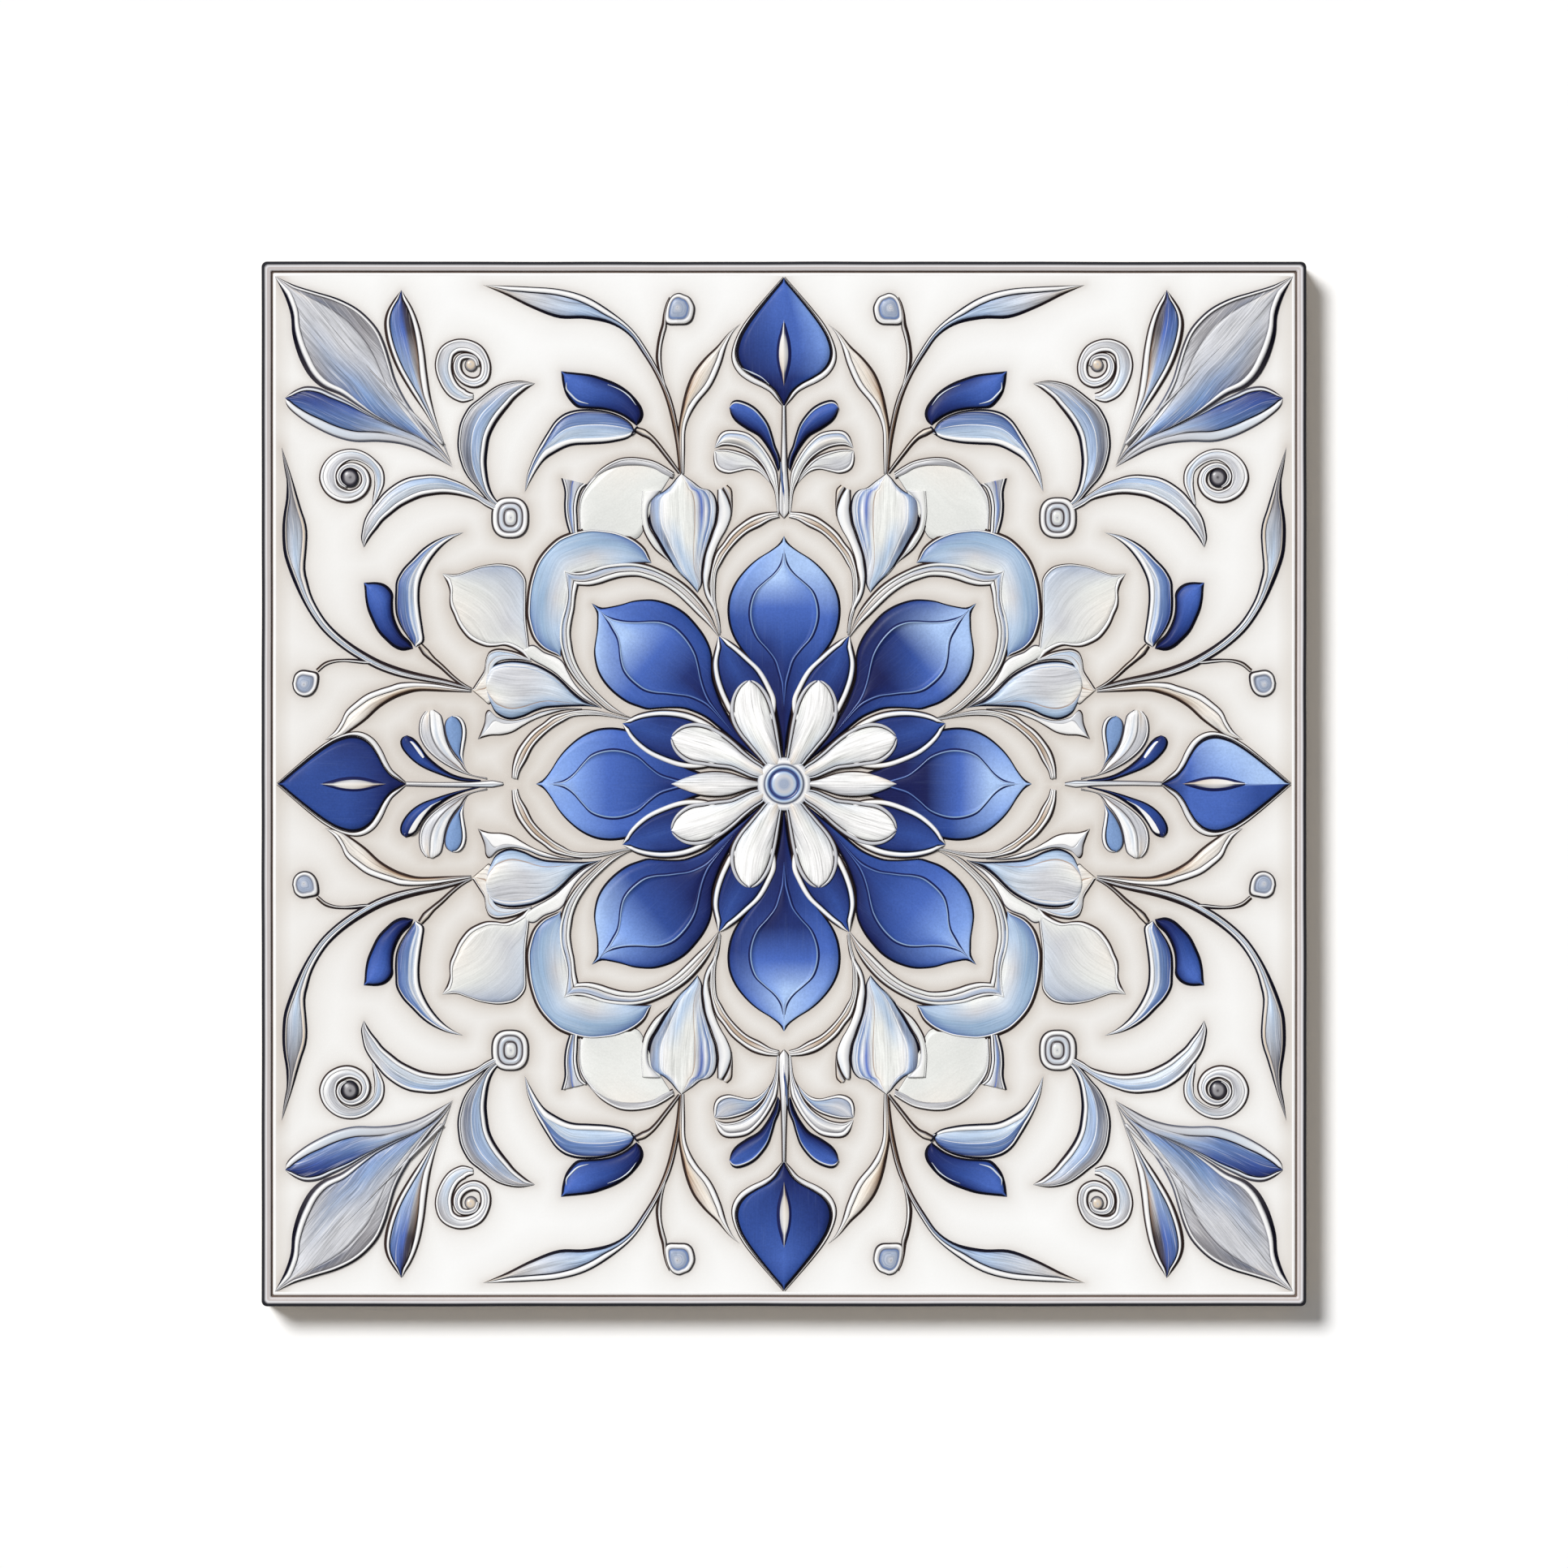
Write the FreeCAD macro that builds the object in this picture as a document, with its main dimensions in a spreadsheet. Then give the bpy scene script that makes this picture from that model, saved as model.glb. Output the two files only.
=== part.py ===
import FreeCAD, Part
import math
import os
import re
import Sketcher

V = FreeCAD.Vector
up = V(0, 0, 1)

# Lengths in millimetres, angles in degrees. The tile lies on its back, its face up, centred on the origin.
body_sizes = {
    "tile_side": 150.0,
    "field_level": 8.0,
    "plan_corner": 0.8,
    "rim_width": 1.3,
    "rim_rise": 0.35,
    "rim_inner_bevel": 0.15,
    "face_arris": 0.3,
    "back_chamfer": 0.5,
    "groove_width": 0.45,
    "groove_depth": 0.35,
    "key_width": 7.0,
    "key_depth": 0.9,
    "key_pitch": 16.0,
    "key_edge_land": 9.0,
    "key_draft": 20.0,
    "relief_mid": 0.6,
    "relief_high": 0.8,
    "relief_draft": 20.0,
}

# The boss at the middle of the rosette: a collar, a turned rim and a sunk disc.
boss_sizes = {
    "collar_radius": 3.8,
    "collar_rise": 0.75,
    "boss_foot_radius": 3.0,
    "boss_rim_radius": 2.6,
    "boss_rise": 1.2,
    "boss_rim_width": 0.5,
    "boss_dish_radius": 1.5,
    "boss_dish_rise": 0.85,
}

# Leaves and petals. Each has a root and a tip, and on either side of the line between them a belly:
# how far along that line it lies, and how far out. Left is on the left when looking from root to tip.
# Places are measured from the tile's centre.
leaves = {
    "stem": ((0.0, 38.6), (0.0, 54.6), (3.2, 1.0), (3.2, -1.0), "relief_mid"),
    "sprig_leaf": ((-1.2, 38.8), (-10.0, 48.1), (6.6, -2.9), (7.9, -4.9), "relief_mid"),
    "long_leaf": ((-14.6, 44.4), (-6.2, 66.0), (12.0, 3.9), (8.0, 1.7), "relief_mid"),
    "slender_leaf": ((-17.2, 56.6), (-43.2, 71.2), (12.0, -3.0), (13.0, -5.5), "relief_mid"),
    "bell_petal": ((-20.4, 51.8), (-32.0, 59.2), (9.3, 3.0), (5.0, -2.8), "relief_high"),
    "bell_leaf": ((-20.5, 50.3), (-37.2, 42.0), (11.0, -3.0), (8.8, -7.4), "relief_mid"),
    "heart_lobe": ((-18.9, 31.6), (-34.3, 34.3), (11.0, 3.2), (7.3, -3.75), "relief_mid"),
    "cup_body": ((-12.4, 27.6), (-14.6, 44.6), (8.7, 4.2), (11.0, -2.3), "relief_mid"),
    "inner_petal": ((-0.8, 1.9), (-5.6, 14.3), (9.3, 3.7), (9.0, -2.6), "relief_high"),
    "crescent_leaf": ((-41.4, 40.0), (-35.8, 57.4), (9.6, 8.3), (8.8, 3.6), "relief_mid"),
}
axis_leaves = ("stem",)

# Ogee petals that lie on an axis or a diagonal: a fine root, a neck where the flank turns out,
# a belly and a pointed tip. Distances run from the tile's centre along the petal's own line,
# or back from the field's edge or corner.
ogees = {
    "spade": ("edge", 90.0, (-19.2, (-16.6, 1.5), (-11.4, 6.9), -0.5), "relief_high"),
    "axial_petal": ("centre", 90.0, (3.4, (14.2, 1.6), (25.0, 8.15), 35.5), "relief_mid"),
    "diagonal_petal": ("centre", 135.0, (3.8, (15.0, 1.9), (26.0, 7.6), 37.8), "relief_mid"),
    "corner_leaf": ("corner", 135.0, (-37.5, (-25.0, 1.0), (-13.2, 5.8), -0.6), "relief_high"),
}

# Scrolls: a place measured from the field's upper left corner, an outer radius, the width of the
# strip and how much it closes in over a half turn.
volutes = {
    "scroll": ((27.9, -13.1), 4.7, 1.4, 1.2, "relief_mid"),
}

doc = FreeCAD.newDocument("azulejo_tile")
sheet = doc.addObject("Spreadsheet::Sheet", "sizes")
row_count = 0


def put(name, number):
    global row_count
    row_count += 1
    sheet.set("A%d" % row_count, name)
    sheet.set("B%d" % row_count, repr(number))
    sheet.setAlias("B%d" % row_count, name)


def put_point(name, point):
    put(name + "_x", point[0])
    put(name + "_y", point[1])


for name, number in {**body_sizes, **boss_sizes}.items():
    put(name, number)
for name, (root, tip, left, right, relief) in leaves.items():
    put_point(name + "_root", root)
    put_point(name + "_tip", tip)
    for side, (along, out) in (("left", left), ("right", right)):
        put("%s_%s_along" % (name, side), along)
        put("%s_%s_out" % (name, side), out)
for name, (anchor, bearing, (root, neck, belly, tip), relief) in ogees.items():
    put(name + "_root", root)
    put(name + "_neck_along", neck[0])
    put(name + "_neck_half", neck[1])
    put(name + "_belly_along", belly[0])
    put(name + "_belly_half", belly[1])
    put(name + "_tip", tip)
for name, (place, radius, width, closing, relief) in volutes.items():
    put_point(name, place)
    put(name + "_radius", radius)
    put(name + "_width", width)
    put(name + "_closing", closing)
doc.recompute()

aliases = set(re.findall(r"\w+", " ".join(sheet.get("A%d" % (i + 1)) for i in range(row_count))))
field_half = "(tile_side / 2 - rim_width - groove_width)"

body = doc.addObject("PartDesign::Body", "tile")
body.Label = "tile"


def bound(text):
    """An expression in the sheet's names, as the other objects have to write it."""
    return re.sub(r"[A-Za-z_]\w*", lambda m: "sizes." + m[0] if m[0] in aliases else m[0], text)


def amount(text):
    result = sheet.evalExpression(text)
    return float(getattr(result, "Value", result))


def origin(role):
    return next(f for f in body.Origin.OriginFeatures if f.Role == role)


def sketch_on(name, plane, place=("0", "0", "0"), turn=None):
    """A sketch on one of the body's own planes, moved and turned in that plane by expressions."""
    sketch = body.newObject("Sketcher::SketchObject", name)
    sketch.AttachmentSupport = (origin(plane), [""])
    sketch.MapMode = "FlatFace"
    for axis, text in zip("xyz", place):
        if text != "0":
            sketch.setExpression(".AttachmentOffset.Base." + axis, bound(text))
    if turn:
        sketch.AttachmentOffset = FreeCAD.Placement(V(), FreeCAD.Rotation(up, amount(turn)))
        sketch.setExpression(".AttachmentOffset.Rotation.Angle", bound(turn))
    return sketch


def fix(sketch, geometry, end, point):
    """Ties one point of the sketch to two expressions, measured from the sketch's origin."""
    for kind, axis, text in (("DistanceX", -2, point[0]), ("DistanceY", -1, point[1])):
        if text == "0":
            sketch.addConstraint(Sketcher.Constraint("PointOnObject", geometry, end, axis))
            continue
        index = sketch.addConstraint(Sketcher.Constraint(kind, -1, 1, geometry, end, amount(text)))
        sketch.setExpression("Constraints[%d]" % index, bound(text))


def at(point):
    return V(amount(point[0]), amount(point[1]), 0)


def arc_from(a, b, kind):
    """An arc from a to b with its ends, and whether it runs anticlockwise. It leaves a level
    (kind "start"), reaches b level (kind "end"), or is a half circle over or under its chord."""
    if kind in ("over", "under"):
        centre = (a + b) * 0.5
        anticlockwise = (kind == "over") == (a.x > b.x)
    else:
        level, other = (a, b) if kind == "start" else (b, a)
        gap = other - level
        centre = level + V(0, gap.dot(gap) / (2 * gap.y), 0)
        anticlockwise = ((gap.x > 0) == (gap.y > 0)) == (kind == "start")
    turn = [math.atan2(point.y - centre.y, point.x - centre.x) for point in (a, b)]
    if not anticlockwise:
        turn.reverse()
    if turn[1] <= turn[0]:
        turn[1] += 2 * math.pi
    return Part.ArcOfCircle(Part.Circle(centre, up, (a - centre).Length), *turn), anticlockwise


def outline(sketch, corners):
    """Closed outline. Each corner is a point and the kind of edge to the next one: None is straight,
    and the others are the arcs of arc_from."""
    first = last = None
    for i, (start, kind) in enumerate(corners):
        finish = corners[(i + 1) % len(corners)][0]
        if kind is None:
            edge = sketch.addGeometry(Part.LineSegment(at(start), at(finish)), False)
            begin, end = 1, 2
        else:
            arc, anticlockwise = arc_from(at(start), at(finish), kind)
            edge = sketch.addGeometry(arc, False)
            begin, end = (1, 2) if anticlockwise else (2, 1)
        fix(sketch, edge, begin, start)
        if last:
            sketch.addConstraint(Sketcher.Constraint("Coincident", last[0], last[1], edge, begin))
        if kind in ("start", "end"):
            level = begin if kind == "start" else end
            sketch.addConstraint(Sketcher.Constraint("Vertical", edge, 3, edge, level))
        elif kind:
            sketch.addConstraint(Sketcher.Constraint("PointOnObject", edge, 3, -1))
        first = first or (edge, begin)
        last = (edge, end)
    sketch.addConstraint(Sketcher.Constraint("Coincident", last[0], last[1], first[0], first[1]))


def square(sketch, half, corner=None):
    """A square about the sketch's origin, with round or sharp corners."""
    if corner is None:
        low = "-" + half
        outline(sketch, [((low, low), None), ((half, low), None), ((half, half), None), ((low, half), None)])
        return
    flat = "(%s - %s)" % (half, corner)
    outline(sketch, [
        (("-" + flat, "-" + half), None), ((flat, "-" + half), "start"),
        ((half, "-" + flat), None), ((half, flat), "end"),
        ((flat, half), None), (("-" + flat, half), "start"),
        (("-" + half, flat), None), (("-" + half, "-" + flat), "end"),
    ])


def feature(kind, name, sketch, length, draft=None, **settings):
    made = body.newObject("PartDesign::" + kind, name)
    made.Profile = (sketch, [""])
    made.Refine = False
    made.setExpression("Length", bound(length))
    if draft:
        made.setExpression("TaperAngle", bound(draft))
    for key, value in settings.items():
        setattr(made, key, value)
    sketch.Visibility = False
    return made


def level_edges(shape, level, reach):
    """Names of the edges at a level that run along the sides of a square of the given half width."""
    names = []
    for i, edge in enumerate(shape.Edges):
        box = edge.BoundBox
        flat = abs(box.ZMin - level) < 1e-4 and abs(box.ZMax - level) < 1e-4
        far = max(abs(box.XMin), abs(box.XMax), abs(box.YMin), abs(box.YMax))
        if flat and abs(far - reach) < 1e-3:
            names.append("Edge%d" % (i + 1))
    return names


def slab():
    """The pressed blank: square, its upper face as high as the rim, its field pressed down inside."""
    blank = sketch_on("blank_outline", "XY_Plane")
    square(blank, "(tile_side / 2)", "plan_corner")
    feature("Pad", "blank", blank, "field_level + rim_rise")
    field = sketch_on("field_outline", "XY_Plane", ("0", "0", "field_level + rim_rise"))
    square(field, "(tile_side / 2 - rim_width)")
    feature("Pocket", "field", field, "rim_rise")
    groove = sketch_on("groove_outline", "XY_Plane", ("0", "0", "field_level"))
    square(groove, "(tile_side / 2 - rim_width)")
    square(groove, field_half)
    return feature("Pocket", "border_groove", groove, "groove_depth")


def soften(base):
    """The worn arris of the face, the bevel inside the rim and the chamfer round the back."""
    side = "tile_side / 2"
    steps = (
        ("Chamfer", "face_arris_worn", "Size", "face_arris", "field_level + rim_rise", side),
        ("Chamfer", "rim_bevel", "Size", "rim_inner_bevel", "field_level + rim_rise", side + " - rim_width"),
        ("Chamfer", "back_edge", "Size", "back_chamfer", "0", side),
    )
    for kind, name, setting, size, level, reach in steps:
        doc.recompute()
        made = body.newObject("PartDesign::" + kind, name)
        made.Base = (base, level_edges(base.Shape, amount(level), amount(reach)))
        made.setExpression(setting, bound(size))
        base = made
    doc.recompute()


def back_grooves():
    """Shallow grooves across the back, for the bed to key into, each opening out as the die needs."""
    reach = "(tile_side / 2 - key_edge_land)"
    pairs = 1 + int((amount(reach) - amount("(key_pitch + key_width) / 2")) // amount("key_pitch"))
    sketch = sketch_on("key_outline", "XY_Plane")
    near = "(key_pitch / 2 - key_width / 2)"
    far = "(key_pitch / 2 + key_width / 2)"
    outline(sketch, [(("-" + reach, near), None), ((reach, near), None),
                     ((reach, far), None), (("-" + reach, far), None)])
    key = feature("Pocket", "key_groove", sketch, "key_depth", "-key_draft", Reversed=True)
    row = doc.addObject("PartDesign::LinearPattern", "key_row")
    row.Direction = (origin("Y_Axis"), [""])
    row.Occurrences = pairs
    row.setExpression("Length", bound("key_pitch * %d" % (pairs - 1)))
    mirror = doc.addObject("PartDesign::Mirrored", "key_mirror")
    mirror.MirrorPlane = (origin("XZ_Plane"), [""])
    repeat("key_grooves", [key], [row, mirror])


def repeat(name, originals, steps):
    doc.recompute()
    made = body.newObject("PartDesign::MultiTransform", name)
    made.Originals = originals
    made.Transformations = steps
    made.Refine = False
    body.Tip = made
    doc.recompute()
    return made


def quarters(name):
    turns = doc.addObject("PartDesign::PolarPattern", name)
    turns.Axis = (origin("Z_Axis"), [""])
    turns.Angle = 360
    turns.Occurrences = 4
    return turns


def leaf(name):
    """A leaf of four arcs. On each side two of them meet at the belly, level with the leaf's line."""
    relief = leaves[name][-1]
    run = "(%s_tip_x - %s_root_x)" % (name, name)
    climb = "(%s_tip_y - %s_root_y)" % (name, name)
    place = (name + "_root_x", name + "_root_y", "field_level")
    sketch = sketch_on(name + "_outline", "XY_Plane", place, "atan2(%s; %s)" % (climb, run))
    right_belly = (name + "_right_along", name + "_right_out")
    left_belly = (name + "_left_along", name + "_left_out")
    outline(sketch, [
        (("0", "0"), "end"), (right_belly, "start"),
        (("sqrt(%s ^ 2 + %s ^ 2)" % (run, climb), "0"), "end"), (left_belly, "start"),
    ])
    return feature("Pad", name, sketch, relief, "-relief_draft")


def ogee(name):
    """A petal or spade that is the same on both sides of its line."""
    anchor, bearing, sizes, relief = ogees[name]
    start = {"centre": "0", "edge": field_half, "corner": field_half + " * sqrt(2)"}[anchor]
    place = ("0", "0", "field_level")
    sketch = sketch_on(name + "_outline", "XY_Plane", place, str(bearing))
    neck, belly = ((start + " + %s_%s_along" % (name, part), "%s_%s_half" % (name, part))
                   for part in ("neck", "belly"))
    root, tip = ((start + " + %s_%s" % (name, end), "0") for end in ("root", "tip"))
    outline(sketch, [
        (root, None), ((neck[0], "-" + neck[1]), "end"), ((belly[0], "-" + belly[1]), "start"),
        (tip, "end"), (belly, "start"), (neck, None),
    ])
    return feature("Pad", name, sketch, relief, "-relief_draft")


def volute(name):
    """A scroll: a strip that runs over a half circle and then closes in over a quarter circle."""
    relief = volutes[name][-1]
    spot = ("%s_x - %s" % (name, field_half), "%s_y + %s" % (name, field_half), "field_level")
    sketch = sketch_on(name + "_outline", "XY_Plane", spot)

    def turn_at(inset):
        radius = name + "_radius" + inset
        start = ("(%s)" % radius, "0")
        far = ("-(%s - %s_closing)" % (radius, name), "0")
        low = ("-%s_closing / 2" % name, "-(%s - %s_closing * 1.5)" % (radius, name))
        return start, far, low

    outer, inner = turn_at(""), turn_at(" - %s_width" % name)
    outline(sketch, [(outer[0], "over"), (outer[1], "end"), (outer[2], None),
                     (inner[2], "start"), (inner[1], "over"), (inner[0], None)])
    return feature("Pad", name, sketch, relief, "-relief_draft")


def boss():
    """The turned boss in the middle of the rosette, with its collar, its rim and its sunk disc."""
    sketch = sketch_on("boss_section", "XZ_Plane")
    rim_in = "(boss_rim_radius - boss_rim_width)"
    levels = {key: "(field_level + %s)" % key for key in ("collar_rise", "boss_rise", "boss_dish_rise")}
    profile = [
        ("0", "(field_level - groove_depth)"), ("collar_radius", "(field_level - groove_depth)"),
        ("collar_radius", "(field_level + collar_rise / 2)"), ("boss_foot_radius", levels["collar_rise"]),
        ("boss_rim_radius", levels["boss_rise"]), (rim_in, levels["boss_rise"]),
        ("boss_dish_radius", levels["boss_dish_rise"]), ("0", levels["boss_dish_rise"]),
    ]
    outline(sketch, [(point, None) for point in profile])
    turned = body.newObject("PartDesign::Revolution", "boss")
    turned.Profile = (sketch, [""])
    turned.ReferenceAxis = (origin("Z_Axis"), [""])
    turned.Angle = 360
    return turned


soften(slab())
back_grooves()
wholes = [leaf(name) for name in axis_leaves] + [ogee(name) for name in ogees]
repeat("four_times", wholes, [quarters("quarter_turns")])
halves = [leaf(name) for name in leaves if name not in axis_leaves]
halves += [volute(name) for name in volutes]
mirror = doc.addObject("PartDesign::Mirrored", "left_and_right")
mirror.MirrorPlane = (origin("YZ_Plane"), [""])
repeat("eight_times", halves, [mirror, quarters("sides")])
boss()
doc.recompute()

for item in doc.Objects:
    if "Invalid" in item.State or "Error" in item.State:
        raise RuntimeError("%s failed: %s" % (item.Name, item.State))
if body.Shape.isNull() or not body.Shape.isValid() or len(body.Shape.Solids) != 1:
    raise RuntimeError("the tile isn't one sound solid")

os.makedirs("parts", exist_ok=True)
body.Shape.exportStep("parts/%s.step" % body.Label)
print("tile volume %.0f mm3, box %s" % (body.Shape.Volume, body.Shape.BoundBox))
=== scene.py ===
import bpy
import math
import random
import numpy as np
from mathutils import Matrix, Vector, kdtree


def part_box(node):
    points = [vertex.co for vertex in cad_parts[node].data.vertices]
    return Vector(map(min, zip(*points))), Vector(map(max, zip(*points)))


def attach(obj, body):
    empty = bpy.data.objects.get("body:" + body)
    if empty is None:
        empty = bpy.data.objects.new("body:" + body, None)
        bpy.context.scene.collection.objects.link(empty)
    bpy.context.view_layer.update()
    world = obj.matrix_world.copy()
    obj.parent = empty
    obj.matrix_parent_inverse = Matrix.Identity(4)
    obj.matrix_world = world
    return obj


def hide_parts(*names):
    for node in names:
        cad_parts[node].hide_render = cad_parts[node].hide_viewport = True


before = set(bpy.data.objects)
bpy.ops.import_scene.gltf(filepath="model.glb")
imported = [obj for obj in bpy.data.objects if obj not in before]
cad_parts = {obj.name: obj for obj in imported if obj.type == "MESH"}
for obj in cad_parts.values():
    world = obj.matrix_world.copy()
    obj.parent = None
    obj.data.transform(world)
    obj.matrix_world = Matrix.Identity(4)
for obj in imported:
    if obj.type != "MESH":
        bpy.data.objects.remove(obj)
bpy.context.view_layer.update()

mm = 0.001

# Sizes that the tile's pieces share, in millimetres. The side comes from the tile's part in model.glb.
tileLow, tileHigh = (np.array(corner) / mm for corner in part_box("tile"))
tile = {
    "half": (tileHigh[0] - tileLow[0]) / 2,
    "field": 8.0,           # level of the glazed field
    "sink": 0.12,           # how far the foot of a relief reaches into the field
    "inkGain": 1.35,        # all ink lines are this much wider than their motif says,
    "inkLeast": 0.06,       # and by this much besides
}

# Glaze colours as they look in daylight, 0 to 255.
glaze = {
    "ink": (14, 13, 30), "inkBrown": (54, 40, 36), "inkGrey": (74, 70, 78), "pearl": (250, 249, 248),
    "silver": (204, 205, 210), "pewter": (150, 148, 152), "steel": (106, 112, 130), "night": (24, 30, 82),
    "deep": (34, 50, 112), "cobalt": (50, 78, 152), "royal": (74, 106, 188), "peri": (128, 162, 230),
    "bright": (172, 200, 244), "azure": (98, 126, 178), "sky": (150, 177, 206), "ice": (184, 204, 228),
    "mist": (212, 221, 232), "haze": (160, 182, 216), "denim": (126, 156, 202), "dove": (160, 172, 194),
    "chalk": (229, 230, 226), "milk": (236, 237, 233), "cream": (240, 234, 226), "sand": (222, 206, 186),
    "umber": (168, 136, 110), "fieldWhite": (252, 252, 251), "fieldWarmAndShade": (217, 210, 202),
    "fieldContactShade": (190, 179, 171), "biscuit": (226, 208, 182), "arrisShadeGrey": (36, 36, 42),
    "rimGrey": (150, 148, 150), "rimLight": (226, 224, 226), "rimLilac": (203, 194, 192),
    "grooveBrown": (112, 98, 90),
}


def toLinear(name):
    share = np.array(glaze[name], float) / 255
    return np.where(share <= 0.04045, share / 12.92, ((share + 0.055) / 1.055) ** 2.4)


def stops(values, s):
    # One value all along, or several spread evenly from root to tip.
    values = np.atleast_1d(np.array(values, float))
    if len(values) == 1:
        return np.full(len(s), values[0])
    return np.interp(s, np.linspace(0, 1, len(values)), values)


def blendColours(names, s):
    # Colours blended from root to tip, given as glaze names with spaces between them.
    table = np.array([toLinear(name) for name in names.split()])
    where = np.linspace(0, 1, len(table))
    return np.stack([np.interp(s, where, table[:, c]) for c in range(3)], axis=-1)


def lengthRun(line):
    # How far along a line each of its points lies.
    return np.concatenate([[0], np.cumsum(np.linalg.norm(np.diff(line, axis=0), axis=1))])


def pointsAt(line, distances):
    run = lengthRun(line)
    return np.stack([np.interp(distances, run, line[:, k]) for k in range(2)], axis=-1)


def smooth(points, count, finePoints=12):
    # A centripetal curve through the points, then evenly spaced along its length.
    p = np.array(points, float)
    p = np.vstack([2 * p[0] - p[1], p, 2 * p[-1] - p[-2]])
    t = np.linspace(0, 1, finePoints + 1)[:-1, None]
    fine = []
    for a, b, c, d in zip(p[:-3], p[1:-2], p[2:-1], p[3:]):
        k0, k1, k2 = (max(np.linalg.norm(q - r), 1e-4) ** 0.5 for q, r in ((b, a), (c, b), (d, c)))
        leave = c - b + k1 * ((b - a) / k0 - (c - a) / (k0 + k1))
        arrive = c - b + k1 * ((d - c) / k2 - (d - b) / (k1 + k2))
        bend, twist = 3 * (c - b) - 2 * leave - arrive, 2 * (b - c) + leave + arrive
        fine.append(b + t * leave + t ** 2 * bend + t ** 3 * twist)
    fine = np.vstack(fine + [p[-2][None]])
    return pointsAt(fine, np.linspace(0, lengthRun(fine)[-1], count))


def mirrored(points):
    return [(-x, y) for x, y in points]


def turned(points, quarter, flip=False):
    p = np.array(points, float)
    if flip:
        p[..., 0] = -p[..., 0]
    for _ in range(quarter):
        p[..., 0], p[..., 1] = -p[..., 1].copy(), p[..., 0].copy()
    return p


class Relief:
    # One motif of the relief: grids of points, each with its paint, its strand lengths and its glazes.
    def __init__(self, name):
        self.name = name
        self.patches = []
        self.outline = []


# How every leaf's edge is built: the ink line lies on a ledge, the ridge rises beside it and the fine
# line dips inside the ridge. Places are shares of each strip's width, heights of the edge's own height.
# The ink line is the motif's dark outline and also painted shade in the crevice at its foot.
edgeShape = {
    "ink": (0.1, 0.8), "ledge": 0.3, "ridge": [(0.0, 0.8), (0.2, 0.94), (0.5, 1.0), (0.8, 0.95), (1.0, 0.8)],
    "ridgeStrokes": 0.35, "line": (0.1, 0.9), "dip": 0.75, "lastStrokes": 0.2, "keep": 0.8,
    "creaseGap": 1.05,
}


def columnTable(fill, s):
    # Colour columns across a fill, as (share of its width, colours from root to tip). A fill is a list of
    # names for evenly spaced columns, or of (share, names).
    if isinstance(fill[0], str):
        fill = zip(np.linspace(0, 1, len(fill)), fill)
    return [(share, blendColours(names, s)) for share, names in fill]


def colourAcross(table, x):
    for (here, colour), (there, nextColour) in zip(table[:-1], table[1:]):
        if x < there:
            f = (x - here) / (there - here)
            return colour * (1 - f) + nextColour * f
    return table[-1][1]


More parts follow.
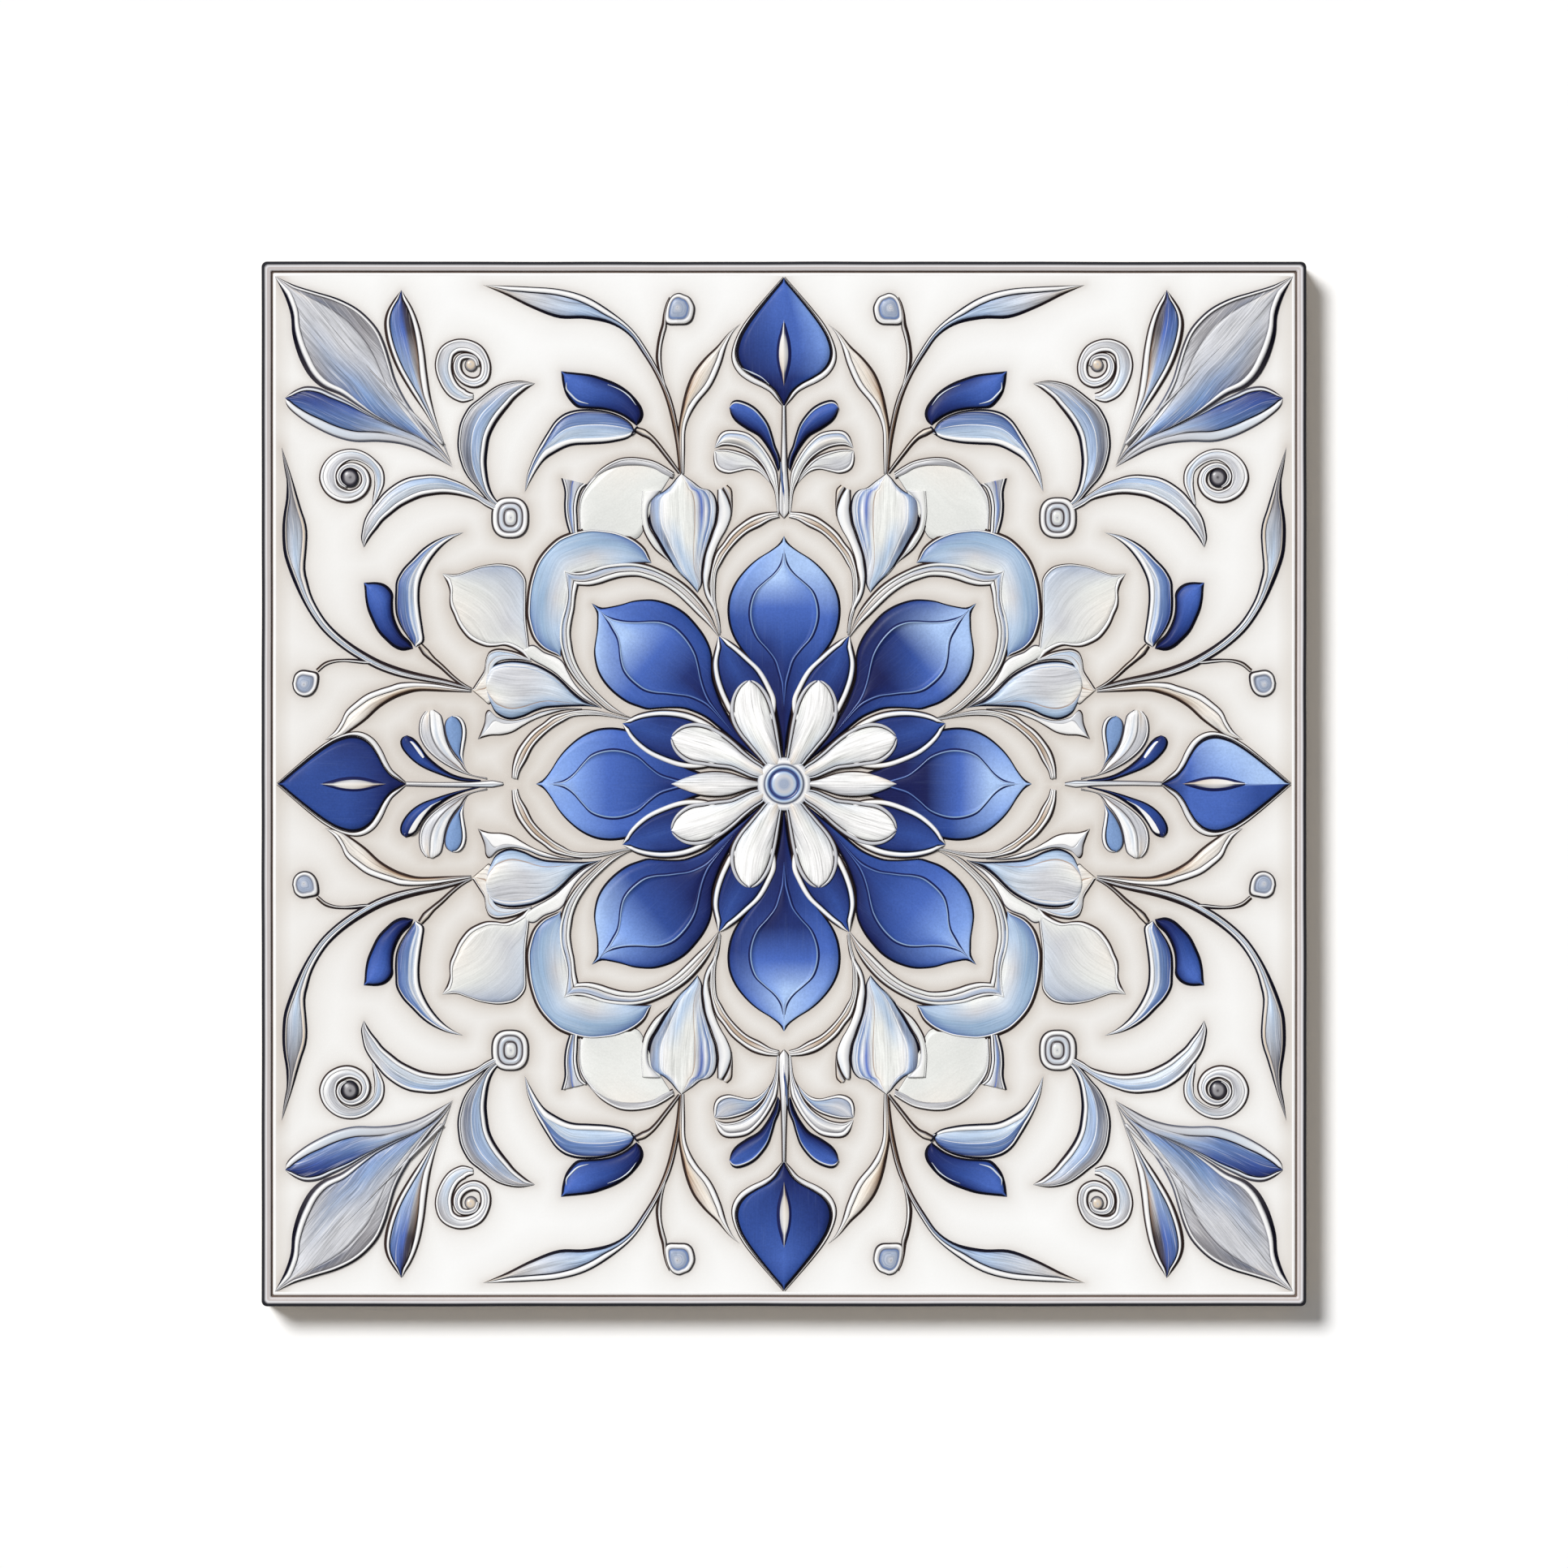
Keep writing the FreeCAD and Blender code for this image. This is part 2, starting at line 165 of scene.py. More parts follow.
def blade(relief, left, right, look, rows=44, base=0.0):
    # A leaf, petal or stem between two edges drawn from root to tip: an ink line, a ridge and a
    # fine line on either side, and a crowned or dished fill with creases between them.
    s = np.linspace(0, 1, rows)
    left, right = smooth(left, rows), smooth(right, rows)
    width = np.maximum(np.linalg.norm(right - left, axis=1), 1e-5)
    base = stops(base, s)
    low = base - tile["sink"]

    def sides(key):
        return [stops(values, s) for values in look.get(key, (0, 0))]

    def paint(key, usual):
        return blendColours(look.get(key, usual), s)

    ridge, line = sides("ridge"), sides("line")
    ink = [w * tile["inkGain"] + np.minimum(w, tile["inkLeast"]) for w in sides("ink")]
    margin = [ink[i] + ridge[i] + line[i] for i in (0, 1)]
    keep = look.get("keep", edgeShape["keep"])
    squeeze = np.minimum(1, keep * width / np.maximum(margin[0] + margin[1], 1e-5))
    taper = np.minimum(1, width / look["fullWidth"]) ** 0.5
    ridgeTop, edgeTop, middleTop = (base + height * taper for height in look["rise"])
    inkPaint, linePaint = paint("inkColour", "ink"), paint("lineColour", "ink")
    ridgePaint, ridgeShade = paint("ridgeColour", "pearl"), paint("ridgeShade", "silver")

    def share(distance):
        return np.clip(distance * squeeze / width, 0, 0.5)

    def edge(i):
        # From the outer edge inward: share of the width, height, colour, and glaze and strokes to the next.
        hasRidge = np.max(ridge[i]) > 0
        rise = (ridgeTop if hasRidge else edgeTop) - base
        out = [(share(0 * s), low, inkPaint, "ink", 0.0)]
        # The ink line: the dark outline, and painted shade at the foot.
        for part in edgeShape["ink"]:
            out.append((share(ink[i] * part), base + edgeShape["ledge"] * rise, inkPaint, "ink", 0.0))
        for part, height in edgeShape["ridge"] if hasRidge else ():
            colour = ridgePaint if 0 < part < 1 else ridgeShade
            across = share(ink[i] + ridge[i] * part)
            out.append((across, base + rise * height, colour, "pearl", edgeShape["ridgeStrokes"]))
        for part in edgeShape["line"] if np.max(line[i]) > 0 else ():
            dip = base + (np.minimum(base + rise, edgeTop) - base) * edgeShape["dip"]
            out.append((share(ink[i] + ridge[i] + line[i] * part), dip, linePaint, "ink", 0.0))
        return out

    first, last = share(margin[0]), 1 - share(margin[1])
    table = columnTable(look["fill"], s)
    creases = look.get("creases", ())
    columns = set(np.linspace(0, 1, look.get("columns", 8) + 1).round(4))
    columns |= {round(x, 4) for x, colours in table}
    for middle, half, depth, name in creases:
        columns = {x for x in columns if abs(x - middle) > half * edgeShape["creaseGap"]}
        columns |= {middle - half, middle, middle + half}
    finish, strokes = look.get("finish", "wash"), look.get("strokes", 1.0)
    stations = edge(0)
    for x in sorted(columns):
        z = edgeTop + (middleTop - edgeTop) * (1 - abs(2 * x - 1) ** look.get("crown", 2.0))
        colour = colourAcross(table, x)
        for middle, half, depth, name in creases:
            if x == middle:
                z = z - depth * taper
                colour = blendColours(name, s)
        stations.append((first + (last - first) * x, z, colour, finish, strokes))
    lastGlaze = "ink" if np.max(line[1]) > 0 or np.max(ridge[1]) == 0 else "pearl"
    stations[-1] = stations[-1][:3] + (lastGlaze, edgeShape["lastStrokes"])
    other = edge(1)
    for k in range(len(other) - 1, -1, -1):
        across, z, colour = other[k][:3]
        kind, amount = other[k - 1][3:] if k > 0 else ("ink", 0.0)
        stations.append((1 - across, z, colour, kind, amount))
    addStations(relief, left, right, stations, rows, low, inkPaint)
    relief.outline += [left, right]


def addStations(relief, left, right, stations, rows, low, inkPaint):
    # Each end gets one more row, the foot of a wall down into the field, so that a blunt end is closed.
    def pad(values, ends=None):
        head, tail = (values[:1], values[-1:]) if ends is None else ends
        return np.concatenate([head, values, tail])

    along = pad(lengthRun((left + right) / 2))
    left, right = pad(left), pad(right)
    width = np.linalg.norm(right - left, axis=1)
    grid = np.zeros((rows + 2, len(stations), 3))
    strand = np.zeros((rows + 2, len(stations), 2))
    colour = np.zeros((rows + 2, len(stations), 3))
    for k, (share, z, paint, kind, amount) in enumerate(stations):
        share = pad(share)
        grid[:, k, :2] = left * (1 - share[:, None]) + right * share[:, None]
        grid[:, k, 2] = pad(z, (low[:1], low[-1:]))
        strand[:, k, 0] = along
        strand[:, k, 1] = (share - 0.5) * width
        colour[:, k] = pad(paint, (inkPaint[:1], inkPaint[-1:]))
    kinds, strokes = zip(*(station[3:] for station in stations[:-1]))
    relief.patches.append((grid, colour, strand, kinds, strokes))


def strip(relief, path, widths, look, rows=44, base=0.0):
    # A blade along a path. The widths go with the path's points, or else are spread evenly.
    centre = smooth(path, rows)
    heading = np.gradient(centre, axis=0)
    heading /= np.maximum(np.linalg.norm(heading, axis=1), 1e-9)[:, None]
    side = np.stack([-heading[:, 1], heading[:, 0]], axis=-1)
    s = np.linspace(0, 1, rows)
    if len(widths) == len(path):
        run = lengthRun(np.array(path, float))
        half = np.interp(s, run / run[-1], widths)[:, None] / 2
    else:
        half = stops(widths, s)[:, None] / 2
    blade(relief, centre + side * half, centre - side * half, look, rows, base)


def turnedRings(relief, look):
    # Rings from the rim to the middle as (share of the rim's size, height, colour). The rim is a circle, a
    # squarish round or a drawn outline, and the inner rings lean to one side or grow slimmer.
    angles = np.linspace(0, 2 * math.pi, look["turns"] + 1)
    middle = np.array(look.get("middle", (0, 0)), float)
    if "outline" in look:
        rim = smooth(look["outline"], look["turns"] + 1) - middle
    else:
        power = 2 / look.get("squareness", 2.0)
        rim = np.stack([np.sign(f) * np.abs(f) ** power for f in (np.cos(angles), np.sin(angles))], axis=-1)
        rim = rim * np.array(look["size"])
    profile = look["profile"]
    grid = np.zeros((len(angles), len(profile), 3))
    strand = np.zeros((len(angles), len(profile), 2))
    colour = np.zeros((len(angles), len(profile), 3))
    for k, (share, height, name) in enumerate(profile):
        slim = np.array([1 - look.get("slim", 0) * (1 - share), 1.0])
        grid[:, k, :2] = middle + rim * share * slim + np.array(look.get("lean", (0, 0))) * (1 - share)
        grid[:, k, 2] = height
        strand[:, k, 0], strand[:, k, 1] = angles * share * 3, share * 3
        colour[:, k] = toLinear(name)
    spans = len(profile) - 1
    relief.patches.append((grid, colour, strand, [look.get("finish", "pearl")] * spans, [1.0] * spans))
    relief.outline.append(middle + rim)


# How a motif is repeated: each entry is a turn in quarter circles and whether it is mirrored first.
repeats = {
    "eight": [(q, flip) for q in range(4) for flip in (False, True)],
    "fourWays": [(0, False), (0, True), (2, False), (2, True)],
    "twice": [(0, False), (0, True)],
    "vertical": [(0, False), (2, False)],
    "leftRight": [(1, False), (3, False)],
    "once": [(0, False)],
}
# Each copy is a little lighter or darker, and its brush strokes start elsewhere.
copyLook = {"tone": 0.03, "strandShift": 40}
groundSources = []
finishes = {}


def corners(grid):
    # What a grid holds at the four corners of each of its quads.
    return np.stack([grid[:-1, :-1], grid[:-1, 1:], grid[1:, 1:], grid[1:, :-1]], axis=2)


def runsClockwise(grid):
    a, b, c = grid[1:-1, 0, :2], grid[1:-1, -1, :2], grid[2:, -1, :2]
    return np.sum((b - a)[:, 0] * (c - a)[:, 1] - (b - a)[:, 1] * (c - a)[:, 0]) < 0


def place(relief, how):
    # Turns a motif and its copies into one mesh object, riding on the tile.
    rng = random.Random(relief.name)
    verts, faces, colours, strands, kinds, names = [], [], [], [], [], []
    count = 0
    for quarter, flip in repeats[how]:
        tone = 1 + rng.uniform(-copyLook["tone"], copyLook["tone"])
        shift = rng.uniform(0, copyLook["strandShift"])
        for grid, paint, strand, spanKinds, strokes in relief.patches:
            rows, columns = grid.shape[:2]
            spot = turned(grid, quarter, flip)
            verts.append(spot.reshape(-1, 3))
            quads = corners(np.arange(rows * columns).reshape(rows, columns) + count)
            count += rows * columns
            colour = np.ones(quads.shape + (4,))
            colour[..., :3] = np.clip(corners(paint) * tone, 0, 1)
            colour[..., 3] = np.array(strokes)[None, :, None]
            uv = corners(strand) + shift
            if runsClockwise(spot):
                quads, colour, uv = quads[..., ::-1], colour[:, :, ::-1], uv[:, :, ::-1]
            names += [name for name in dict.fromkeys(spanKinds) if name not in names]
            faces.append(quads.reshape(-1, 4))
            colours.append(colour.reshape(-1, 4))
            strands.append(uv.reshape(-1, 2))
            kinds.append(np.tile([names.index(name) for name in spanKinds], rows - 1))
        for line in relief.outline:
            groundSources.append(turned(line, quarter, flip))
    verts = np.vstack(verts)
    verts[:, 2] += tile["field"]
    faces, colours, strands, kinds = (np.concatenate(part) for part in (faces, colours, strands, kinds))
    buildMesh(relief.name, verts, faces, colours, strands, kinds, names)


def buildMesh(name, verts, faces, colours, strands, kinds, names):
    # Points in millimetres, quads, and for each quad's corners the paint and the way along the brush.
    mesh = bpy.data.meshes.new(name)
    mesh.vertices.add(len(verts))
    mesh.vertices.foreach_set("co", (verts * mm).reshape(-1))
    mesh.loops.add(len(faces) * 4)
    mesh.loops.foreach_set("vertex_index", faces.reshape(-1).astype(np.int32))
    mesh.polygons.add(len(faces))
    mesh.polygons.foreach_set("loop_start", np.arange(0, len(faces) * 4, 4, dtype=np.int32))
    mesh.update(calc_edges=True)
    paint = mesh.color_attributes.new("paint", "FLOAT_COLOR", "CORNER")
    paint.data.foreach_set("color", colours.reshape(-1).astype(np.float32))
    layer = mesh.uv_layers.new(name="strand")
    layer.data.foreach_set("uv", strands.reshape(-1).astype(np.float32))
    mesh.polygons.foreach_set("material_index", kinds.astype(np.int32))
    for finish in names:
        mesh.materials.append(finishes[finish])
    mesh.validate()
    mesh.polygons.foreach_set("use_smooth", np.ones(len(mesh.polygons), bool))
    mesh.update()
    piece = bpy.data.objects.new(name, mesh)
    bpy.context.scene.collection.objects.link(piece)
    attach(piece, "root")
    print("built", name, len(mesh.polygons), "faces")
    return piece


# Shader groups that the glazes share.
def newGroup(name, inputs, outputs):
    group = bpy.data.node_groups.new(name, "ShaderNodeTree")
    for label, kind, value in inputs:
        socket = group.interface.new_socket(name=label, in_out="INPUT", socket_type="NodeSocket" + kind)
        if value is not None:
            socket.default_value = value
    for label in outputs:
        group.interface.new_socket(name=label, in_out="OUTPUT", socket_type="NodeSocketFloat")
    return group, group.nodes.new("NodeGroupInput").outputs, group.nodes.new("NodeGroupOutput").inputs


def mathNode(tree, operation, a, b, c=None, clamp=False):
    node = tree.nodes.new("ShaderNodeMath")
    node.operation = operation
    node.use_clamp = clamp
    for socket, value in zip(node.inputs, (a, b, c)):
        if isinstance(value, (int, float)):
            socket.default_value = value
        elif value is not None:
            tree.links.new(value, socket)
    return node.outputs[0]


def product(tree, a, b, clamp=False):
    return mathNode(tree, "MULTIPLY", a, b, clamp=clamp)


def total(tree, a, b):
    return mathNode(tree, "ADD", a, b)


def difference(tree, a, b):
    return mathNode(tree, "SUBTRACT", a, b)


def scaledVector(tree, vector, factor):
    node = tree.nodes.new("ShaderNodeVectorMath")
    node.operation = "SCALE"
    tree.links.new(vector, node.inputs[0])
    tree.links.new(factor, node.inputs["Scale"])
    return node.outputs[0]


def stretched(tree, vector, factors):
    node = tree.nodes.new("ShaderNodeVectorMath")
    node.operation = "MULTIPLY"
    tree.links.new(vector, node.inputs[0])
    node.inputs[1].default_value = factors
    return node.outputs[0]


def noiseNode(tree, vector, scale, detail, rough, distortion=0.0):
    node = tree.nodes.new("ShaderNodeTexNoise")
    node.inputs["Detail"].default_value = detail
    node.inputs["Roughness"].default_value = rough
    node.inputs["Distortion"].default_value = distortion
    if isinstance(scale, (int, float)):
        node.inputs["Scale"].default_value = scale
    else:
        tree.links.new(scale, node.inputs["Scale"])
    tree.links.new(vector, node.inputs["Vector"])
    return node.outputs["Fac"]


# Three layers of strokes, each as its stretch along the leaf, detail, roughness and distortion, then
# how they are mixed and where they turn to dark and to bare strokes.
strokeLook = {
    "fine": ((0.2, 4.2, 1.0), 3.0, 0.6, 0.4), "broad": ((0.08, 1.3, 1.0), 2.0, 0.5, 0.6),
    "thin": ((0.13, 6.5, 1.0), 2.0, 0.5, 0.3), "fineShare": 0.55, "broadShare": 0.45,
    "darkOver": 0.56, "bareUnder": 0.42, "steepness": 5.0, "darkness": 0.3, "bareness": 0.35,
}


def makeBrushStrokes():
    # Fine strokes of the brush along a leaf: Shade is about 1, Light is where bare strokes show,
    # and Height is the ridge of each stroke.
    look = strokeLook
    group, given, result = newGroup(
        "brushStrokes", [("Strand", "Vector", None), ("Amount", "Float", 1.0), ("Fineness", "Float", 1.0)],
        ["Shade", "Light", "Height"])
    layers = []
    for factors, detail, rough, distortion in (look["fine"], look["broad"], look["thin"]):
        vector = stretched(group, given["Strand"], factors)
        layers.append(noiseNode(group, vector, given["Fineness"], detail, rough, distortion))
    fine, broad, thin = layers
    mixed = total(group, product(group, fine, look["fineShare"]), product(group, broad, look["broadShare"]))
    swing = product(group, difference(group, mixed, 0.5), given["Amount"])
    dark = product(group, difference(group, thin, look["darkOver"]), look["steepness"], clamp=True)
    bare = product(group, difference(group, look["bareUnder"], thin), look["steepness"], clamp=True)
    darkened = product(group, product(group, dark, given["Amount"]), look["darkness"])
    bared = product(group, product(group, bare, given["Amount"]), look["bareness"])
    group.links.new(difference(group, total(group, 1.0, swing), darkened), result["Shade"])
    group.links.new(bared, result["Light"])
    group.links.new(fine, result["Height"])
    return group


# Three noises, each as its scale, detail and roughness, and what two of them give to the height.
grainLook = {
    "grain": (3400.0, 2.0, 0.7), "cloud": (260.0, 3.0, 0.55), "speck": (2600.0, 1.0, 0.4),
    "grainHeight": 0.3, "cloudHeight": 0.7,
}


def makeGlazeGrain():
    # Grain of the pigment and slow clouding of the glaze. Shade is about 1.
    look = grainLook
    group, given, result = newGroup(
        "glazeGrain", [("Grain", "Float", 0.1), ("Cloud", "Float", 0.1), ("Size", "Float", 1.0)],
        ["Shade", "Height", "Speck"])
    where = group.nodes.new("ShaderNodeTexCoord").outputs["Object"]
    vector = scaledVector(group, where, given["Size"])
    grain, cloud, speck = (noiseNode(group, vector, *look[name]) for name in ("grain", "cloud", "speck"))
    grainShade = product(group, difference(group, grain, 0.5), given["Grain"])
    cloudShade = product(group, difference(group, cloud, 0.5), given["Cloud"])
    group.links.new(total(group, 1.0, total(group, grainShade, cloudShade)), result["Shade"])
    grainHeight = product(group, grain, look["grainHeight"])
    group.links.new(total(group, product(group, cloud, look["cloudHeight"]), grainHeight), result["Height"])
    group.links.new(speck, result["Speck"])
    return group


brushStrokes = makeBrushStrokes()
glazeGrain = makeGlazeGrain()

# One entry for each finish: strokes and grain of the colour, roughness and how much it varies,
# bump in millimetres, the clear coat over it and the colour that shows through bare strokes.
finishLooks = {
    "wash": {
        "strokes": 1.25, "fineness": 1.0, "grain": 0.2, "cloud": 0.12, "rough": 0.42, "vary": 0.1,
        "bump": 0.022, "coat": 0.1, "specular": 0.35, "bare": "pearl",
    },
    "cobalt": {
        "strokes": 0.5, "fineness": 1.2, "grain": 0.5, "cloud": 0.16, "rough": 0.45, "vary": 0.08,
        "bump": 0.012, "coat": 0.02, "specular": 0.1, "bare": "bright",
    },
    "pearl": {
        "strokes": 0.3, "fineness": 1.2, "grain": 0.06, "cloud": 0.08, "rough": 0.32, "vary": 0.1,
        "bump": 0.012, "coat": 0.2, "specular": 0.4, "bare": "pearl",
    },
    "ink": {
        "strokes": 0.5, "fineness": 1.2, "grain": 0.4, "cloud": 0.5, "rough": 0.6, "vary": 0.1,
        "bump": 0.01, "coat": 0.0, "specular": 0.12, "bare": "ink",
    },
    "ground": {
        "strokes": 0.0, "fineness": 1.0, "grain": 0.03, "cloud": 0.03, "rough": 0.45, "vary": 0.12,
        "bump": 0.02, "coat": 0.1, "specular": 0.3, "bare": "pearl",
    },
    "biscuit": {
        "strokes": 0.0, "fineness": 1.0, "grain": 0.3, "cloud": 0.16, "rough": 0.85, "vary": 0.1,
        "bump": 0.06, "coat": 0.0, "specular": 0.3, "bare": "biscuit",
    },
}


def groupNode(tree, group, values):
    node = tree.nodes.new("ShaderNodeGroup")
    node.node_tree = group
    for name, value in values.items():
        node.inputs[name].default_value = value
    return node


def makeFinish(name, look):
    material = bpy.data.materials.new(name + "Glaze")
    material.use_nodes = True
    tree = material.node_tree
    shader = tree.nodes["Principled BSDF"]
    paint = tree.nodes.new("ShaderNodeVertexColor")
    paint.layer_name = "paint"
    strand = tree.nodes.new("ShaderNodeUVMap")
    strand.uv_map = "strand"
    grain = groupNode(tree, glazeGrain, {"Grain": look["grain"], "Cloud": look["cloud"]}).outputs
    brush = groupNode(tree, brushStrokes, {"Fineness": look["fineness"]})
    tree.links.new(strand.outputs["UV"], brush.inputs["Strand"])
    tree.links.new(product(tree, paint.outputs["Alpha"], look["strokes"]), brush.inputs["Amount"])
    shade = product(tree, grain["Shade"], brush.outputs["Shade"])
    bare = tree.nodes.new("ShaderNodeMix")
    bare.data_type = "RGBA"
    sockets = {socket.identifier: socket for socket in [*bare.inputs, *bare.outputs]}
    tree.links.new(brush.outputs["Light"], sockets["Factor_Float"])
    tree.links.new(scaledVector(tree, paint.outputs["Color"], shade), sockets["A_Color"])
    sockets["B_Color"].default_value = (*toLinear(look["bare"]), 1)
    tree.links.new(sockets["Result_Color"], shader.inputs["Base Color"])
    speck = difference(tree, grain["Speck"], 0.5)
    rough = mathNode(tree, "MULTIPLY_ADD", speck, look["vary"] * 2, look["rough"], clamp=True)
    tree.links.new(rough, shader.inputs["Roughness"])
    stroke = product(tree, brush.outputs["Height"], paint.outputs["Alpha"])
    bump = tree.nodes.new("ShaderNodeBump")
    bump.inputs["Strength"].default_value = 1.0
    bump.inputs["Distance"].default_value = look["bump"] * mm
    tree.links.new(total(tree, grain["Height"], stroke), bump.inputs["Height"])
    tree.links.new(bump.outputs["Normal"], shader.inputs["Normal"])
    shader.inputs["Specular IOR Level"].default_value = look["specular"]
    shader.inputs["Coat Weight"].default_value = look["coat"]
    shader.inputs["Coat Roughness"].default_value = 0.2
    return material


for finishName, finishLook in finishLooks.items():
    finishes[finishName] = makeFinish(finishName, finishLook)
print("glazes ready")

# The spade at the middle of each side, its cream collar, the white slit in it and a painted highlight at its
# foot.
spadeLook = {
    "ink": ([0.1, 0.3, 0.3, 0.34, 0.3], [0.1, 0.26, 0.24, 0.3, 0.3]), "rise": (0.8, 0.55, 0.76),
    "fullWidth": 3.0, "crown": 2.6, "finish": "cobalt", "strokes": 0.3, "columns": 14,
}
# Its colours at the top, left, bottom and right of the tile. The bright half of the right one is a
# painted highlight.
spadeFillsAndHighlight = [
    ["night night deep cobalt royal", "night deep cobalt royal royal", "night deep royal royal royal",
     "night cobalt peri peri royal"],
    ["night deep cobalt cobalt cobalt", "night deep cobalt cobalt cobalt", "night deep deep cobalt deep"],
    ["night deep deep cobalt cobalt", "night deep cobalt royal cobalt",
     "night cobalt cobalt cobalt cobalt"],
    [(0, "night royal bright bright bright"), (0.48, "night royal peri bright bright"),
     (0.53, "night royal royal cobalt cobalt"), (1, "deep royal royal cobalt cobalt")],
]
collarLook = {
    "ink": (0.11, 0.06), "rise": (0.35, 0.28, 0.42), "inkColour": "inkBrown",
    "fill": ["silver pearl cream", "pearl"], "strokes": 0.3, "columns": 4, "fullWidth": 0.6,
    "finish": "pearl",
}
slitLook = {
    "ink": (0.3, 0.4), "rise": (0.2, 0.1, 0.26), "fullWidth": 0.8, "finish": "pearl", "strokes": 0.6,
    "columns": 6, "inkColour": "night",
    "fill": ["umber cream pearl", "sand cream pearl", "pewter silver pewter"],
}
# A thin pale strip that is a painted highlight.
paintedHighlightLook = {
    "rise": (0.05, 0.05, 0.07), "fill": ["mist", "mist"], "finish": "pearl", "columns": 2, "strokes": 0.0,
    "fullWidth": 0.1,
}
spadeEdge = [
    (0, 54.2), (-0.6, 55.3), (-1.3, 56.4), (-2.5, 57.4), (-4.2, 58.3), (-5.7, 59.3), (-6.6, 60.5),
    (-6.9, 62), (-6.4, 64), (-5.6, 65.5), (-4.2, 67.5), (-2.2, 70), (0, 72.6),
]
collarEdge = [
    (-0.2, 54.1), (-1.2, 55.2), (-2.1, 56.2), (-3.3, 56.9), (-5, 57.7), (-6.5, 58.8), (-7.45, 60.4),
    (-7.55, 62), (-6.85, 64.2), (-5.85, 66), (-4.4, 67.9), (-2.35, 70.3), (-0.15, 72.8),
]
slitEdge = [(0, 57), (-0.7, 59), (-1.1, 61.1), (-1, 63.2), (-0.5, 65.2), (0, 66.6)]
spadePaintedHighlight = ([(-6, 59.6), (-4.6, 59), (-3.2, 58.3), (-2.1, 57.3)], [0.05, 0.22, 0.14, 0.05])


def makeSpade():
    spade = Relief("spade")
    for quarter, fill in enumerate(spadeFillsAndHighlight):
        left, right = turned(spadeEdge, quarter), turned(mirrored(spadeEdge), quarter)
        blade(spade, left, right, dict(spadeLook, fill=fill), rows=64)
        left, right = turned(slitEdge, quarter), turned(mirrored(slitEdge), quarter)
        blade(spade, left, right, slitLook, rows=40, base=0.74)
    strip(spade, *spadePaintedHighlight, paintedHighlightLook, rows=24, base=0.62)
    place(spade, "once")
    collar = Relief("spadeCollar")
    blade(collar, collarEdge, spadeEdge, collarLook, rows=64)
    place(collar, "eight")


